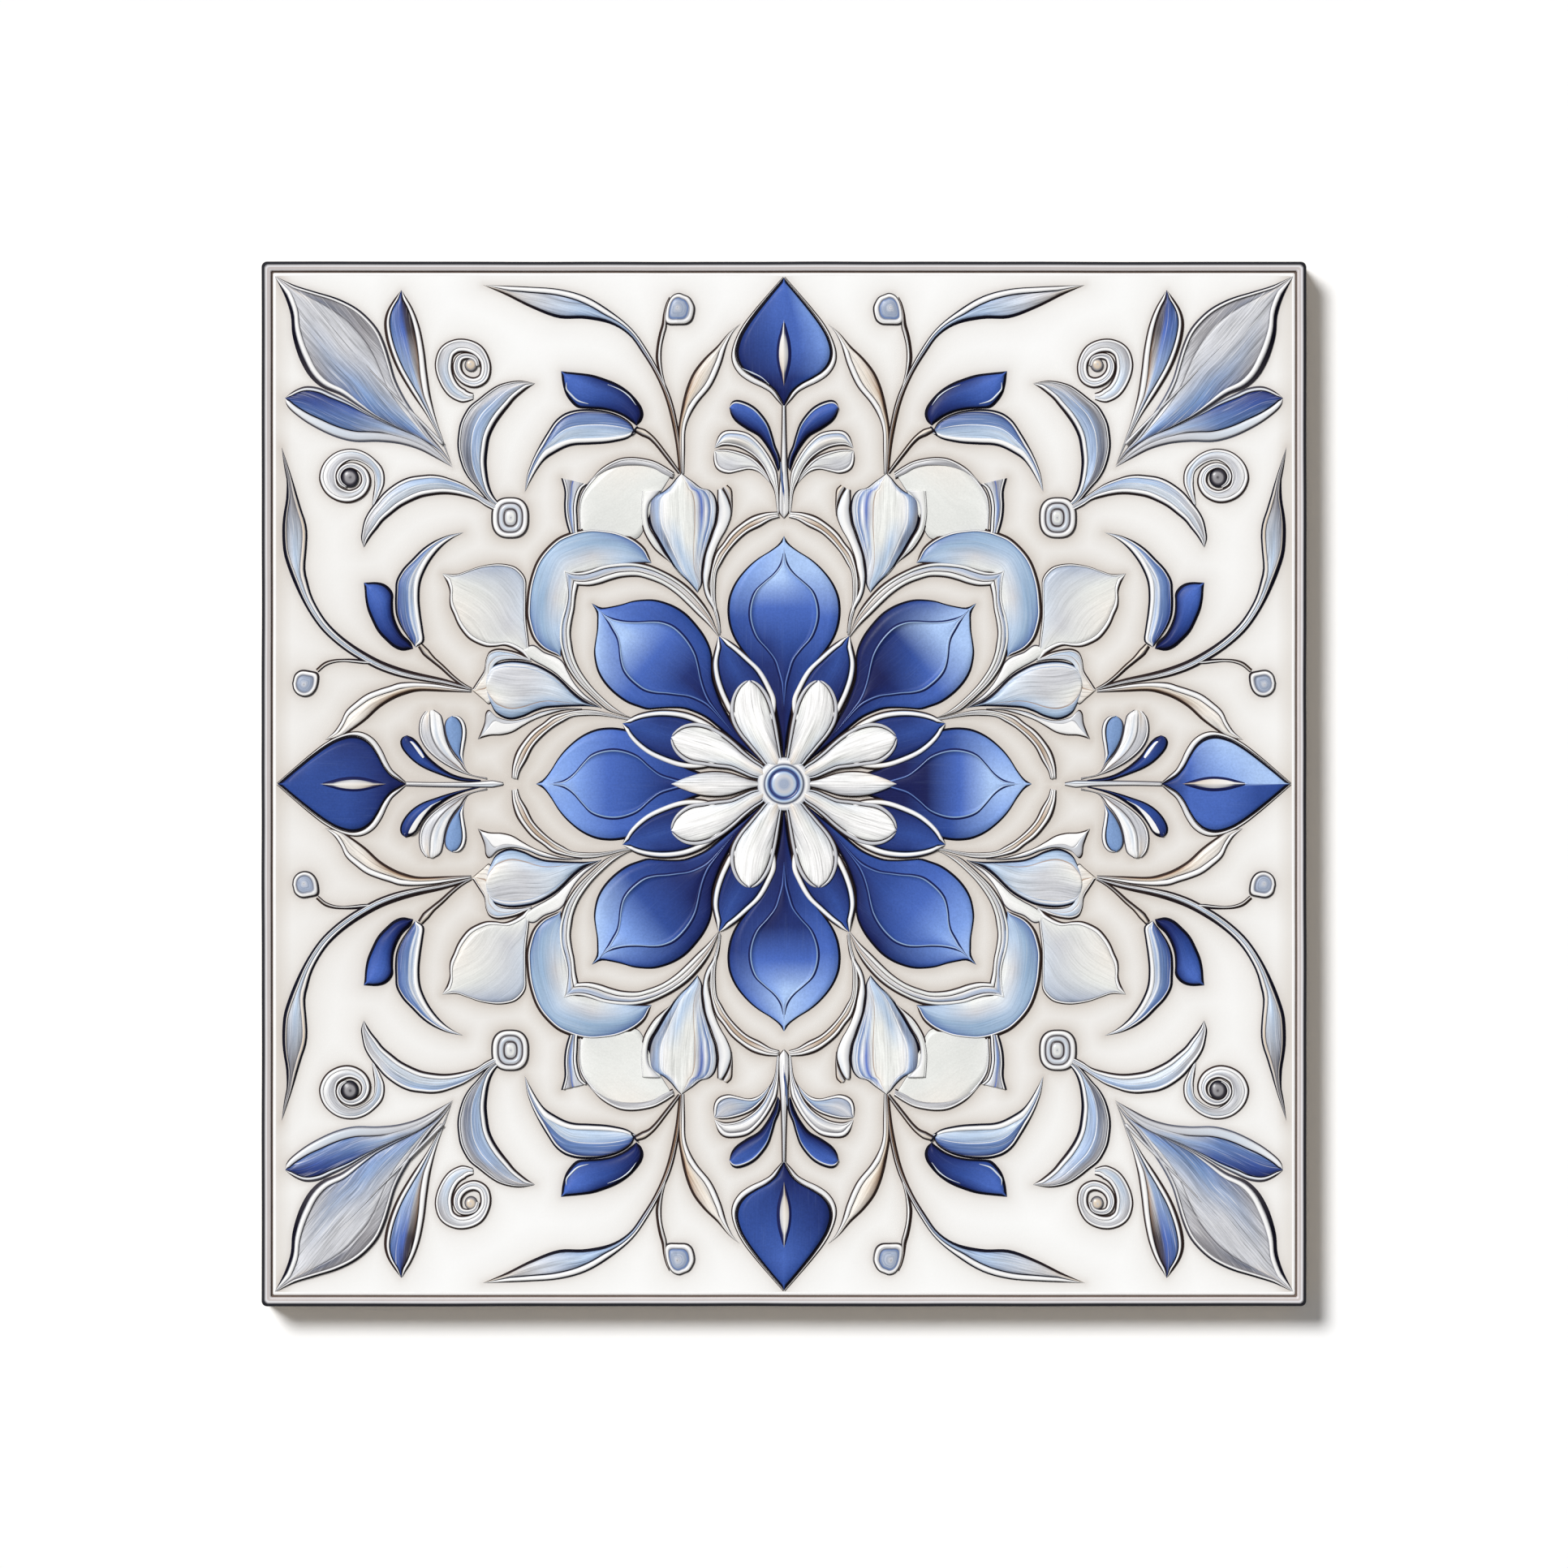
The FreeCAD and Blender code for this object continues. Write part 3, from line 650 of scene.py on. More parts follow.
# The sprig below each spade: its stem, two blue drops, two white leaves and two grey ones under them. At
# the left and right of the tile its leaves are white and blue, and the drops have slits.
sprigLooks = {
    "stem": {
        "ink": (0.12, 0.12), "rise": (0.45, 0.3, 0.5), "fullWidth": 1.0, "columns": 6,
        "inkColour": "inkBrown", "creases": [(0.3, 0.07, 0.12, "pewter")],
        "fill": ["silver pearl pearl", "pearl pearl mist", "pearl silver silver"],
    },
    "streak": {
        "ink": (0.06, 0.06), "rise": (0.1, 0.06, 0.1), "fullWidth": 0.4, "columns": 3, "finish": "cobalt",
        "inkColour": "steel", "fill": ["azure deep cobalt", "haze azure deep"],
    },
    "sideStem": {
        "ink": (0.09, 0.07), "rise": (0.35, 0.3, 0.42), "fullWidth": 0.8, "columns": 6,
        "inkColour": "inkGrey", "creases": [(0.45, 0.09, 0.1, "inkGrey")], "strokes": 0.5,
        "fill": ["mist mist silver silver", "pearl"],
    },
    "drop": {
        "ink": (0.28, 0.24), "ridge": (0, [0, 0.08, 0.18, 0.22]), "rise": (0.66, 0.5, 0.85),
        "fullWidth": 2.0,
        "fill": ["night night night deep", "night deep cobalt royal", "night cobalt royal royal"],
        "finish": "cobalt", "strokes": 0.5, "ridgeColour": "royal ice pearl",
    },
    "leaf": {
        "ink": (0.14, 0.12), "ridge": (0.2, 0.35), "line": (0.07, 0.07), "lineColour": "pewter",
        "rise": (0.5, 0.36, 0.55), "fullWidth": 2.0, "inkColour": "inkBrown", "strokes": 1.2,
        "fill": [
            "pearl pearl silver pewter milk", "pearl milk chalk cream milk", "pearl pearl mist haze haze",
        ],
    },
    "under": {
        "ink": (0.12, 0.14), "ridge": (0.35, 0.2), "line": (0.12, 0.1), "rise": (0.42, 0.2, 0.26),
        "fullWidth": 1.6, "inkColour": "inkBrown", "lineColour": "pewter",
        "fill": ["pearl pewter silver silver", "silver chalk silver chalk", "milk silver chalk cream"],
    },
    "lowUnder": {
        "ink": (0.12, 0.14), "ridge": (0.4, 0.2), "line": (0.12, 0.1), "rise": (0.42, 0.2, 0.26),
        "fullWidth": 1.6, "inkColour": "inkBrown", "lineColour": "steel",
        "fill": ["pearl haze dove dove", "haze sky silver silver", "haze azure dove silver"],
    },
    "lowLeaf": {
        "ink": (0.14, 0.16), "ridge": (0.2, 0.5), "line": (0.07, 0.1), "lineColour": "pewter",
        "rise": (0.5, 0.36, 0.55), "fullWidth": 2.0, "inkColour": "inkBrown",
        "fill": ["haze azure haze silver pearl", "pearl", "pearl silver silver pewter silver"],
    },
    "sideDrop": {
        "ink": (0.2, 0.26), "rise": (0.66, 0.5, 0.8), "fullWidth": 2.0, "finish": "cobalt", "strokes": 0.5,
        "fill": ["night deep cobalt deep", "night cobalt cobalt night", "night night deep night"],
    },
    "sideSlit": {
        "ink": (0.1, 0.05), "rise": (0.12, 0.08, 0.14), "fullWidth": 0.6, "finish": "pearl", "columns": 6,
        "creases": [(0.56, 0.09, 0.06, "ink")], "inkColour": "royal", "strokes": 0.3,
        "fill": ["mist mist pearl", "pearl"],
    },
    "lowSlit": {
        "ink": (0.08, 0.2), "rise": (0.12, 0.08, 0.14), "fullWidth": 0.6, "finish": "pearl", "columns": 6,
        "strokes": 0.3, "fill": ["haze pearl pearl", "pearl"],
    },
    "sideWhite": {
        "ink": (0.1, 0.1), "ridge": ([0.05, 0.15, 0.2, 0.25], 0), "line": (0.05, 0), "lineColour": "silver",
        "rise": (0.6, 0.45, 0.66), "fullWidth": 2.4, "inkColour": "inkGrey", "columns": 12,
        "creases": [(0.42, 0.05, 0.3, "ink")],
        "fill": [
            (0, "silver pewter silver silver pearl"), (0.3, "pewter pewter silver silver sand"),
            (0.37, "pewter pewter pewter silver pearl"), (0.52, "pewter umber silver pearl pearl"),
            (0.66, "pearl pearl mist mist pearl"), (0.8, "pearl"), (1, "silver pearl pearl pearl pearl"),
        ],
    },
    "sideBlue": {
        "ink": (0.14, 0.06), "ridge": (0, [0.15, 0.34, 0.42, 0.36, 0.3]),
        "line": (0, [0.1, 0.16, 0.2, 0.2]), "rise": (0.55, 0.4, 0.6), "fullWidth": 2.4,
        "inkColour": "inkGrey", "finish": "cobalt", "strokes": 0.4,
        "fill": [
            "royal azure denim denim denim", "azure denim denim denim denim",
            "royal azure denim denim azure",
        ],
    },
}
sprigEdges = {
    "drop": (
        [(-0.9, 44.8), (-1.7, 46.9), (-2.6, 48.5), (-3.7, 49.85), (-5.5, 50.9), (-7, 52), (-7.6, 52.9),
         (-7.85, 54)],
        [(-0.9, 44.8), (-0.5, 45.6), (-0.6, 47.1), (-1.2, 48.6), (-1.6, 50), (-2.2, 51.7), (-3.15, 53.1),
         (-4.2, 54.15), (-5.6, 54.9), (-6.85, 55.15), (-7.5, 54.85), (-7.85, 54)]),
    "leaf": (
        [(-1, 38.8), (-1.15, 40.15), (-1.4, 41.85), (-2.15, 43.5), (-2.9, 45.2), (-4, 46.6), (-5.5, 47.7),
         (-6.9, 48.3), (-8.5, 48.5), (-10, 48.15)],
        [(-0.7, 38.8), (-0.75, 41.5), (-1, 44.8), (-1.5, 46), (-2.5, 47.7), (-3.7, 49.2), (-5.2, 50.4),
         (-6.9, 50.8), (-8.6, 50.7), (-9.4, 50), (-10, 48.15)]),
    "under": (
        [(-1.9, 43), (-2.8, 44), (-3.85, 44.8), (-5.2, 45.1), (-6.6, 44.8), (-8, 44.5), (-9.2, 44.8),
         (-9.85, 45.4), (-10.15, 46.6), (-10, 47.85)],
        [(-1.9, 43), (-2.4, 44.4), (-3.3, 45.9), (-4.6, 47), (-6.2, 47.7), (-8, 48.1), (-9.2, 48.1),
         (-10, 47.85)]),
    "sideDrop": (
        [(-43.5, 0.3), (-46.5, 0.4), (-48, 0.8), (-50.2, 1.6), (-51.6, 2.2), (-52.9, 3), (-54.1, 4.1),
         (-54.9, 5.2), (-55.1, 6.1), (-54.8, 6.7), (-54.1, 7)],
        [(-43.5, 0.6), (-46, 1), (-47.6, 1.5), (-49, 2.3), (-50.3, 3.3), (-51.3, 4.3), (-52, 5.3),
         (-52.6, 6.1), (-53.3, 6.7), (-54.1, 7)]),
    "lowDrop": (
        [(-43.5, 0.3), (-46, 0.8), (-48, 1.3), (-50, 1.95), (-52, 2.7), (-53.5, 3.7), (-54.6, 5),
         (-55.1, 6.2), (-55, 7.1), (-54.3, 7.7)],
        [(-43.5, 0.5), (-46, 1.2), (-48, 2.1), (-50, 3.5), (-51.4, 4.8), (-52.2, 5.9), (-52.9, 7),
         (-53.5, 7.5), (-54.3, 7.7)]),
    "sideWhite": (
        [(-42.6, 0.6), (-46, 1.5), (-48, 2.4), (-49.6, 3.4), (-51, 4.6), (-51.9, 5.8), (-52.35, 7),
         (-52.4, 8.4), (-52.1, 9.6), (-51.5, 10.4)],
        [(-42.6, 0.9), (-44.9, 1.4), (-45.7, 2.1), (-46.3, 3), (-47.3, 4.2), (-48.1, 5.6), (-48.6, 7.2),
         (-48.85, 8.7), (-49.2, 9.9), (-50.2, 10.65)]),
    "sideBlue": (
        [(-45.3, 1.5), (-46.1, 2.9), (-47.2, 4.1), (-48, 5.4), (-48.6, 7), (-48.75, 8.5), (-48.4, 9.3),
         (-47.6, 9.8)],
        [(-45.3, 1.5), (-45.9, 2.9), (-46, 4.2), (-45.8, 5.6), (-45.6, 6.9), (-45.6, 8), (-45.9, 9),
         (-46.6, 9.7), (-47.6, 9.8)]),
    "sideSlit": (
        [(-52.3, 3.3), (-53, 3.75), (-53.6, 4.7), (-53.95, 5.5), (-54.2, 6.2)],
        [(-51.5, 3.9), (-51.9, 4.6), (-52.5, 5.4), (-53.2, 6.1), (-53.9, 6.35)],
    ),
    "lowSlit": (
        [(-49.2, 2.3), (-51, 2.95), (-52.1, 3.5), (-53.1, 4.3), (-53.9, 5.3), (-54.4, 6.3), (-54.5, 7.1)],
        [(-49.2, 2.5), (-50.6, 3.7), (-51.5, 4.8), (-52.2, 5.9), (-52.8, 6.9), (-53.4, 7.3), (-54.3, 7.3)],
    ),
}
sprigStemEdge = [(0, 38), (-0.75, 38.9), (-0.84, 40.2), (-0.8, 42), (-0.6, 45), (-0.42, 50), (-0.34, 54.3)]
# Strips, each as its path and its widths.
sprigStreak = ([(-0.5, 46.2), (-0.3, 44), (-0.05, 42), (0.05, 40.2)], [0.12, 0.5, 0.5, 0.15])
sideStemPath = ([(0, 40.3), (0, 41.8), (-0.1, 45), (-0.1, 50), (0, 54.2)], [0.5, 1.1, 0.85, 0.75, 0.7])


def makeSprig():
    leaves = Relief("sprigLeaves")
    for quarter, under, leaf in ((0, "under", "leaf"), (2, "lowUnder", "lowLeaf")):
        for edges, look in (("under", under), ("leaf", leaf), ("drop", "drop")):
            left, right = (turned(line, quarter) for line in sprigEdges[edges])
            blade(leaves, left, right, sprigLooks[look])
    place(leaves, "twice")
    sideLeaves = Relief("sideSprigLeaves")
    for name in ("sideWhite", "sideBlue"):
        blade(sideLeaves, *sprigEdges[name], sprigLooks[name])
    place(sideLeaves, "fourWays")
    sideDrops = Relief("sideSprigDrops")
    for quarter, drop, slit in ((0, "sideDrop", "sideSlit"), (2, "lowDrop", "lowSlit")):
        for name, look, base in ((drop, "sideDrop", 0.0), (slit, slit, 0.62)):
            left, right = (turned(line, quarter) for line in sprigEdges[name])
            blade(sideDrops, left, right, sprigLooks[look], base=base)
    place(sideDrops, "twice")
    stem = Relief("sprigStem")
    blade(stem, sprigStemEdge, mirrored(sprigStemEdge), sprigLooks["stem"])
    strip(stem, *sprigStreak, sprigLooks["streak"], rows=24, base=0.44)
    place(stem, "vertical")
    sideStem = Relief("sideSprigStem")
    strip(sideStem, *sideStemPath, sprigLooks["sideStem"])
    place(sideStem, "leftRight")


# The arch that springs from the foot of the sprig and runs down to the rosette.
archLook = {
    "ink": (0.16, 0.22), "ridge": (0.3, 0.42), "line": (0.08, 0.12), "rise": (0.6, 0.35, 0.45),
    "fullWidth": 1.4, "inkColour": "inkBrown", "lineColour": "inkBrown", "keep": 0.75,
    "fill": ["pearl umber sand milk pewter silver", "pearl sand umber cream silver silver"],
}
archOuter = [
    (-0.9, 39.1), (-2.8, 39), (-4.6, 38.5), (-6.15, 37.5), (-7.7, 36.15), (-8.8, 34.6), (-9.8, 33.3),
    (-10.4, 31.1), (-10.7, 29.1), (-10.6, 27.1), (-10.2, 25.2), (-9.7, 23.3), (-9.4, 21.4),
]
archInner = [
    (-0.7, 38.2), (-1.85, 37.85), (-3.4, 36.9), (-5.2, 36), (-6.6, 34.8), (-8, 33.2), (-8.9, 31.7),
    (-9.6, 30.4), (-9.8, 28.5), (-9.8, 26.6), (-9.6, 24.8), (-9.3, 23.1), (-9.1, 21.4),
]


def makeArch():
    arch = Relief("ogeeArch")
    blade(arch, archInner, archOuter, archLook, rows=56)
    place(arch, "eight")


# The fan of leaves above each cup flower, with a bud, and the bell flower beside it.
fanLooks = {
    "longLeaf": {
        "ink": ([0.16, 0.3, 0.3, 0.14], 0.13), "ridge": (0, [0.2, 0.6, 0.65, 0.3]), "line": (0, 0.12),
        "lineColour": "inkBrown", "rise": (0.55, 0.32, 0.5), "fullWidth": 1.8, "strokes": 1.2,
        "inkColour": "inkBrown",
        "fill": [
            "silver umber umber cream silver", "pewter sand sand cream cream",
            "silver sand cream cream cream",
        ],
    },
    "slenderLeaf": {
        "ink": ([0.26, 0.36, 0.38, 0.38, 0.42, 0.4, 0.3, 0.2], [0.2, 0.26, 0.24, 0.16, 0.1, 0.1]),
        "ridge": (0, [0, 0.1, 0.25, 0.45, 0.7, 0.6, 0.3]), "line": (0, [0, 0.05, 0.12, 0.2, 0.22, 0.16]),
        "rise": (0.55, 0.3, 0.5), "fullWidth": 1.8, "strokes": 1.5,
        "inkColour": "inkBrown inkBrown ink ink inkBrown",
        "fill": [
            "inkBrown umber umber haze haze silver sand", "umber umber silver haze ice silver sand",
            "inkGrey inkGrey steel haze haze silver silver",
        ],
    },
    "sideSlender": {
        "ink": ([0.3, 0.44, 0.42, 0.3, 0.18, 0.16, 0.14], [0.16, 0.2, 0.26, 0.36, 0.38, 0.34, 0.2]),
        "ridge": ([0, 0, 0.1, 0.45, 0.45, 0.3, 0.1], [0.1, 0.14, 0.16, 0.16, 0.1, 0.1]),
        "line": ([0, 0, 0.05, 0.12, 0.1, 0.06], 0.03), "rise": (0.55, 0.3, 0.5), "fullWidth": 1.8,
        "strokes": 1.3, "inkColour": "inkBrown ink ink", "lineColour": "pewter",
        "ridgeColour": "pearl pearl pearl sand silver",
        "fill": [
            "silver mist mist mist mist pewter pewter", "silver pearl ice mist ice pewter pewter",
            "silver silver mist mist silver steel pewter",
        ],
    },
    "budStem": {
        "ink": ([0.2, 0.32, 0.34, 0.3, 0.2], 0.1), "rise": (0.4, 0.3, 0.45), "fullWidth": 0.8,
        "inkColour": "inkBrown", "columns": 5,
        "fill": ["silver pearl pewter", "pearl pearl umber", "pearl pearl pewter"],
    },
    "sideBudStem": {
        "ink": (0.14, 0.28), "rise": (0.35, 0.3, 0.4), "fullWidth": 0.8, "inkColour": "ink inkBrown",
        "columns": 4, "fill": ["silver pearl silver", "pearl pearl sand"],
    },
    "bellStem": {
        "ink": (0.16, 0.22), "rise": (0.4, 0.3, 0.5), "fullWidth": 0.9, "inkColour": "inkBrown",
        "columns": 6, "fill": ["cream sand pearl", "sand pearl silver", "pewter"],
    },
    "bellPetal": {
        "ink": (0.34, 0.34), "rise": (0.8, 0.5, 0.8), "fullWidth": 2.6, "finish": "cobalt", "strokes": 0.4,
        "columns": 12,
        "fill": [
            "night deep cobalt royal", "night deep cobalt royal royal", "night deep cobalt royal royal",
            "night night deep royal",
        ],
    },
    "bellLeaf": {
        "ink": ([0.16, 0.22, 0.22, 0.14], [0.16, 0.22, 0.22, 0.12]),
        "ridge": ([0.3, 0.55, 0.65, 0.8, 0.3], [0, 0, 0.2, 0.4, 0.2]), "line": (0, [0, 0, 0.1, 0.14, 0.08]),
        "lineColour": "steel", "rise": (0.55, 0.4, 0.62), "fullWidth": 2.4, "columns": 14,
        "creases": [(0.5, 0.025, 0.1, "pearl")],
        "fill": [
            (0, "mist ice ice mist"), (0.3, "haze ice mist ice"), (0.46, "azure haze ice silver"),
            (0.56, "azure azure azure haze"), (0.85, "cobalt azure azure azure"),
            (1, "night deep cobalt azure"),
        ],
    },
    "sideBellLeaf": {
        "ink": ([0.16, 0.24, 0.24, 0.14], [0.14, 0.2, 0.2, 0.12]),
        "ridge": ([0, 0, 0.1, 0.2, 0.1], [0.3, 0.5, 0.6, 0.5, 0.3]), "rise": (0.55, 0.4, 0.62),
        "fullWidth": 2.4, "columns": 14,
        "fill": [
            (0, "deep cobalt azure azure"), (0.35, "cobalt azure azure haze"),
            (0.62, "azure azure haze ice"), (0.72, "pearl mist pearl pearl"),
            (0.85, "haze haze silver silver"), (1, "pearl mist mist silver"),
        ],
    },
    "joint": {
        "rise": (0.1, 0.1, 0.14), "fill": ["ink", "ink"], "finish": "ink", "columns": 2, "strokes": 0.0,
        "fullWidth": 0.2,
    },
}
fanEdges = {
    "longLeaf": (
        [(-14.8, 44.5), (-15.2, 48), (-15.2, 51), (-15, 52.5), (-14.5, 55.2), (-13.85, 57.4), (-13, 59.2),
         (-11.5, 61.1), (-9.6, 62.9), (-7.9, 64.8), (-6.2, 66.1)],
        [(-14.3, 44.5), (-14.2, 47.8), (-14.1, 50.9), (-13.6, 52.5), (-12.4, 54.6), (-10.4, 57.1),
         (-9, 60.2), (-8.1, 63.2), (-7.2, 65), (-6.2, 66.1)]),
    "slenderLeaf": (
        [(-15.1, 44.6), (-15.7, 49.5), (-17, 55.1), (-18.6, 58.9), (-20.5, 62), (-22.1, 64.2),
         (-24.5, 65.8), (-28.6, 66.7), (-32.3, 66.8), (-36.1, 68.2), (-40.1, 70.2), (-43.2, 71.6)],
        [(-14.6, 44.6), (-14.9, 49.5), (-16, 54.9), (-17.6, 58.7), (-19.6, 62.3), (-21.6, 65.1),
         (-24.2, 67.4), (-28.2, 69.9), (-32, 71), (-37, 71.4), (-43.2, 71.6)]),
    "sideSlender": (
        [(-44.9, 13.8), (-47, 14.6), (-49, 15.2), (-52.5, 16), (-55, 16.7), (-57.7, 17.7), (-60, 18.9),
         (-62.2, 20.3), (-64.2, 21.9), (-65.7, 23.5), (-67, 25.5), (-67.8, 27.2), (-68.3, 29),
         (-68.7, 30.9), (-68.5, 33.8), (-68.4, 36), (-68.6, 37.5), (-69.2, 39.3), (-69.8, 41.3),
         (-70.3, 43), (-71, 45.2), (-72.1, 48.4)],
        [(-44.9, 13.4), (-47, 13.9), (-49, 14.3), (-52, 14.75), (-55, 15.3), (-56.7, 15.8), (-58.5, 16.5),
         (-60.4, 17.5), (-62.4, 18.7), (-64.4, 20.2), (-66.3, 22), (-67.8, 24), (-69.1, 26.2),
         (-70.3, 28.7), (-71.2, 31), (-71.8, 33), (-72, 35), (-72, 37.3), (-71.8, 39), (-71.5, 40.7),
         (-71.4, 42.3), (-71.4, 43.7), (-71.7, 45.2), (-72.1, 48.4)]),
    "budStem": (
        [(-17.3, 57), (-18.1, 59.4), (-18.45, 61), (-18.3, 63), (-18, 64.6), (-17.6, 66), (-17.35, 67.6),
         (-16.95, 69), (-16.5, 69.9)],
        [(-16.9, 57), (-17.35, 59), (-17.55, 60.8), (-17.5, 62.6), (-17.1, 64.5), (-16.8, 65.6),
         (-16.85, 67.8), (-16.6, 68.8), (-16.4, 69.9)]),
    "sideBudStem": (
        [(-58.6, 17.2), (-60.3, 17.2), (-61.7, 17.35), (-63.3, 17.5), (-64.7, 17.3), (-65.7, 16.9),
         (-66.8, 16)],
        [(-58.6, 17.6), (-60.3, 17.85), (-61.7, 18), (-63.3, 18), (-64.7, 17.9), (-66, 17.5),
         (-67.2, 16.5)]),
    "bellPetal": (
        [(-21.2, 51.4), (-22, 52), (-23, 52.7), (-24.5, 53.35), (-26.4, 53.75), (-28.3, 53.85), (-29.7, 54),
         (-30.7, 54.9), (-31.4, 56), (-31.85, 57.7), (-32, 59.25)],
        [(-21.2, 51.4), (-20.5, 52), (-20.15, 53), (-20.35, 54), (-20.8, 54.75), (-21.4, 55.5),
         (-22.2, 56.3), (-23.2, 57.05), (-24.3, 57.65), (-25.7, 58.2), (-27.5, 58.75), (-29.85, 59.05),
         (-32, 59.25)]),
    "bellLeaf": (
        [(-21.3, 50.3), (-22.6, 49.5), (-24.15, 49.1), (-25.7, 48.85), (-28, 48.7), (-30, 48.6),
         (-31.2, 48.3), (-32.8, 47.5), (-34.3, 46.5), (-35.2, 45.4), (-36.15, 43.85), (-37.2, 41.9)],
        [(-21.3, 50.3), (-21.9, 51.7), (-23.2, 52.7), (-24.8, 53.35), (-26.8, 53.75), (-29.1, 53.8),
         (-30.4, 53.6), (-31.6, 53.15), (-32.8, 52.2), (-33.9, 50.6), (-35.2, 48.4), (-36.2, 46.3),
         (-36.9, 44.2), (-37.2, 41.9)]),
    "sideBellPetal": (
        [(-53.2, 19.4), (-54.7, 19.1), (-55.9, 19.5), (-57.1, 20.5), (-58.3, 21.8), (-59.1, 23.3),
         (-59.8, 25), (-60.1, 26.5), (-60.2, 27.8), (-60.3, 28.9)],
        [(-53.2, 19.4), (-53.5, 20.3), (-54.7, 21.5), (-55.5, 22.9), (-56, 24.5), (-56.1, 26.1),
         (-56.1, 27.4), (-56.7, 28.3), (-57.5, 28.8), (-58.6, 29), (-60.3, 28.9)]),
    "sideBellLeaf": (
        [(-52.9, 19.6), (-54.2, 21.3), (-55.1, 22.7), (-55.7, 24.3), (-55.85, 26), (-55.8, 27.7),
         (-55.7, 29.1), (-54.8, 30.8), (-53.4, 32.3), (-52, 33.7), (-50.4, 34.8), (-48.2, 35.7),
         (-46, 36.1)],
        [(-52.9, 19.6), (-51.7, 20.4), (-51.8, 22.2), (-52.1, 24.3), (-52.3, 26.7), (-52.1, 29),
         (-51.2, 31.2), (-50, 33), (-48.7, 34.4), (-47.5, 35.3), (-46, 36.1)]),
    "sideLongLeaf": (
        [(-44.9, 13.1), (-48.6, 13.2), (-52.5, 13.25), (-54.2, 12.85), (-55.8, 12.25), (-57.9, 11),
         (-60, 9.1), (-62.1, 7.6), (-63.6, 6.7), (-65.9, 6.3)],
        [(-44.9, 13.5), (-47.4, 13.95), (-50.7, 14.5), (-55, 14.6), (-56.7, 14.1), (-58.3, 13.6),
         (-60, 12.9), (-61.5, 11.8), (-62.9, 10.5), (-63.6, 9), (-64.6, 7.5), (-65.9, 6.3)]),
}
# The strips of the bell flowers, each as its path and its widths. The two on the petal's lip and edge are
# painted highlights.
bellStrips = {
    "stem": (
        [(-21.4, 50.9), (-20.2, 50.4), (-19.2, 49.8), (-18.3, 48.9), (-17.2, 47.5), (-16.2, 46.2),
         (-15, 44.6)],
        [0.9, 1.2, 0.9, 0.8, 0.75, 0.7, 0.5]),
    "sideStem": (
        [(-52.2, 19.9), (-51.4, 18.9), (-50.4, 17.9), (-49.1, 16.8), (-47.6, 15.4), (-46.3, 14.4),
         (-44.9, 13.6)],
        [0.9, 1.2, 0.9, 0.8, 0.7, 0.6, 0.5]),
    "joint": ([(-21, 51.3), (-21.45, 50.75), (-21.95, 50.1)], [0.15, 0.34, 0.15]),
    "lipPaintedHighlight": (
        [(-31.2, 57.6), (-31.2, 56.7), (-30.5, 55.8), (-29.6, 55), (-28, 54.5)],
        [0.05, 0.2, 0.26, 0.24, 0.05]),
    "edgePaintedHighlight": ([(-25.3, 57.3), (-23.5, 56.55), (-22.2, 55.6), (-21.2, 54.3)], [0.05, 0.14, 0.2, 0.05]),
}
# The round bud, drawn as its outline; the inner rings lean a little to the upper left.
budLook = {
    "outline": [
        (-15.3, 65.8), (-16.6, 65.85), (-17.05, 66.2), (-17.1, 67.3), (-16.85, 68.6), (-16.45, 69.6),
        (-15.85, 70.25), (-15.05, 70.5), (-14.3, 70.25), (-13.55, 69.9), (-13.05, 69.2), (-12.75, 68.4),
        (-12.85, 67.3), (-13.2, 66.4), (-13.9, 65.9), (-15.3, 65.8),
    ],
    "profile": [
        (1.0, -0.1, "ink"), (0.985, 0.2, "ink"), (0.91, 0.26, "inkBrown"), (0.89, 0.42, "pearl"),
        (0.8, 0.55, "pearl"), (0.7, 0.5, "silver"), (0.66, 0.4, "steel"), (0.6, 0.42, "azure"),
        (0.5, 0.5, "dove"), (0.3, 0.56, "dove"), (0.02, 0.58, "silver"),
    ],
    "middle": (-15.0, 68.1), "lean": (-0.34, 0.26), "turns": 72, "finish": "wash",
}
sideBudLook = {
    "outline": [
        (-70.6, 14.5), (-70.2, 15.8), (-69.3, 16.4), (-68, 16.3), (-66.8, 15.9), (-66.75, 14.5),
        (-67.2, 13.3), (-67.9, 12.65), (-68.9, 12.45), (-69.9, 12.85), (-70.45, 13.6), (-70.6, 14.5),
    ],
    "profile": [
        (1.0, -0.1, "ink"), (0.98, 0.2, "ink"), (0.88, 0.26, "inkBrown"), (0.85, 0.42, "pearl"),
        (0.76, 0.52, "pearl"), (0.68, 0.46, "silver"), (0.62, 0.38, "steel"), (0.5, 0.44, "dove"),
        (0.3, 0.5, "dove"), (0.02, 0.52, "silver"),
    ],
    "middle": (-68.7, 14.4), "lean": (-0.2, -0.12), "turns": 60, "finish": "wash",
}


def makeFan():
    for title, bud, pairs in (
            ("fanLeaves", budLook,
             (("longLeaf", "longLeaf"), ("slenderLeaf", "slenderLeaf"), ("budStem", "budStem"))),
            ("sideFanLeaves", sideBudLook,
             (("sideLongLeaf", "longLeaf"), ("sideSlender", "sideSlender"),
              ("sideBudStem", "sideBudStem")))):
        fan = Relief(title)
        for edges, look in pairs:
            blade(fan, *fanEdges[edges], fanLooks[look], rows=56)
        turnedRings(fan, bud)
        place(fan, "fourWays")


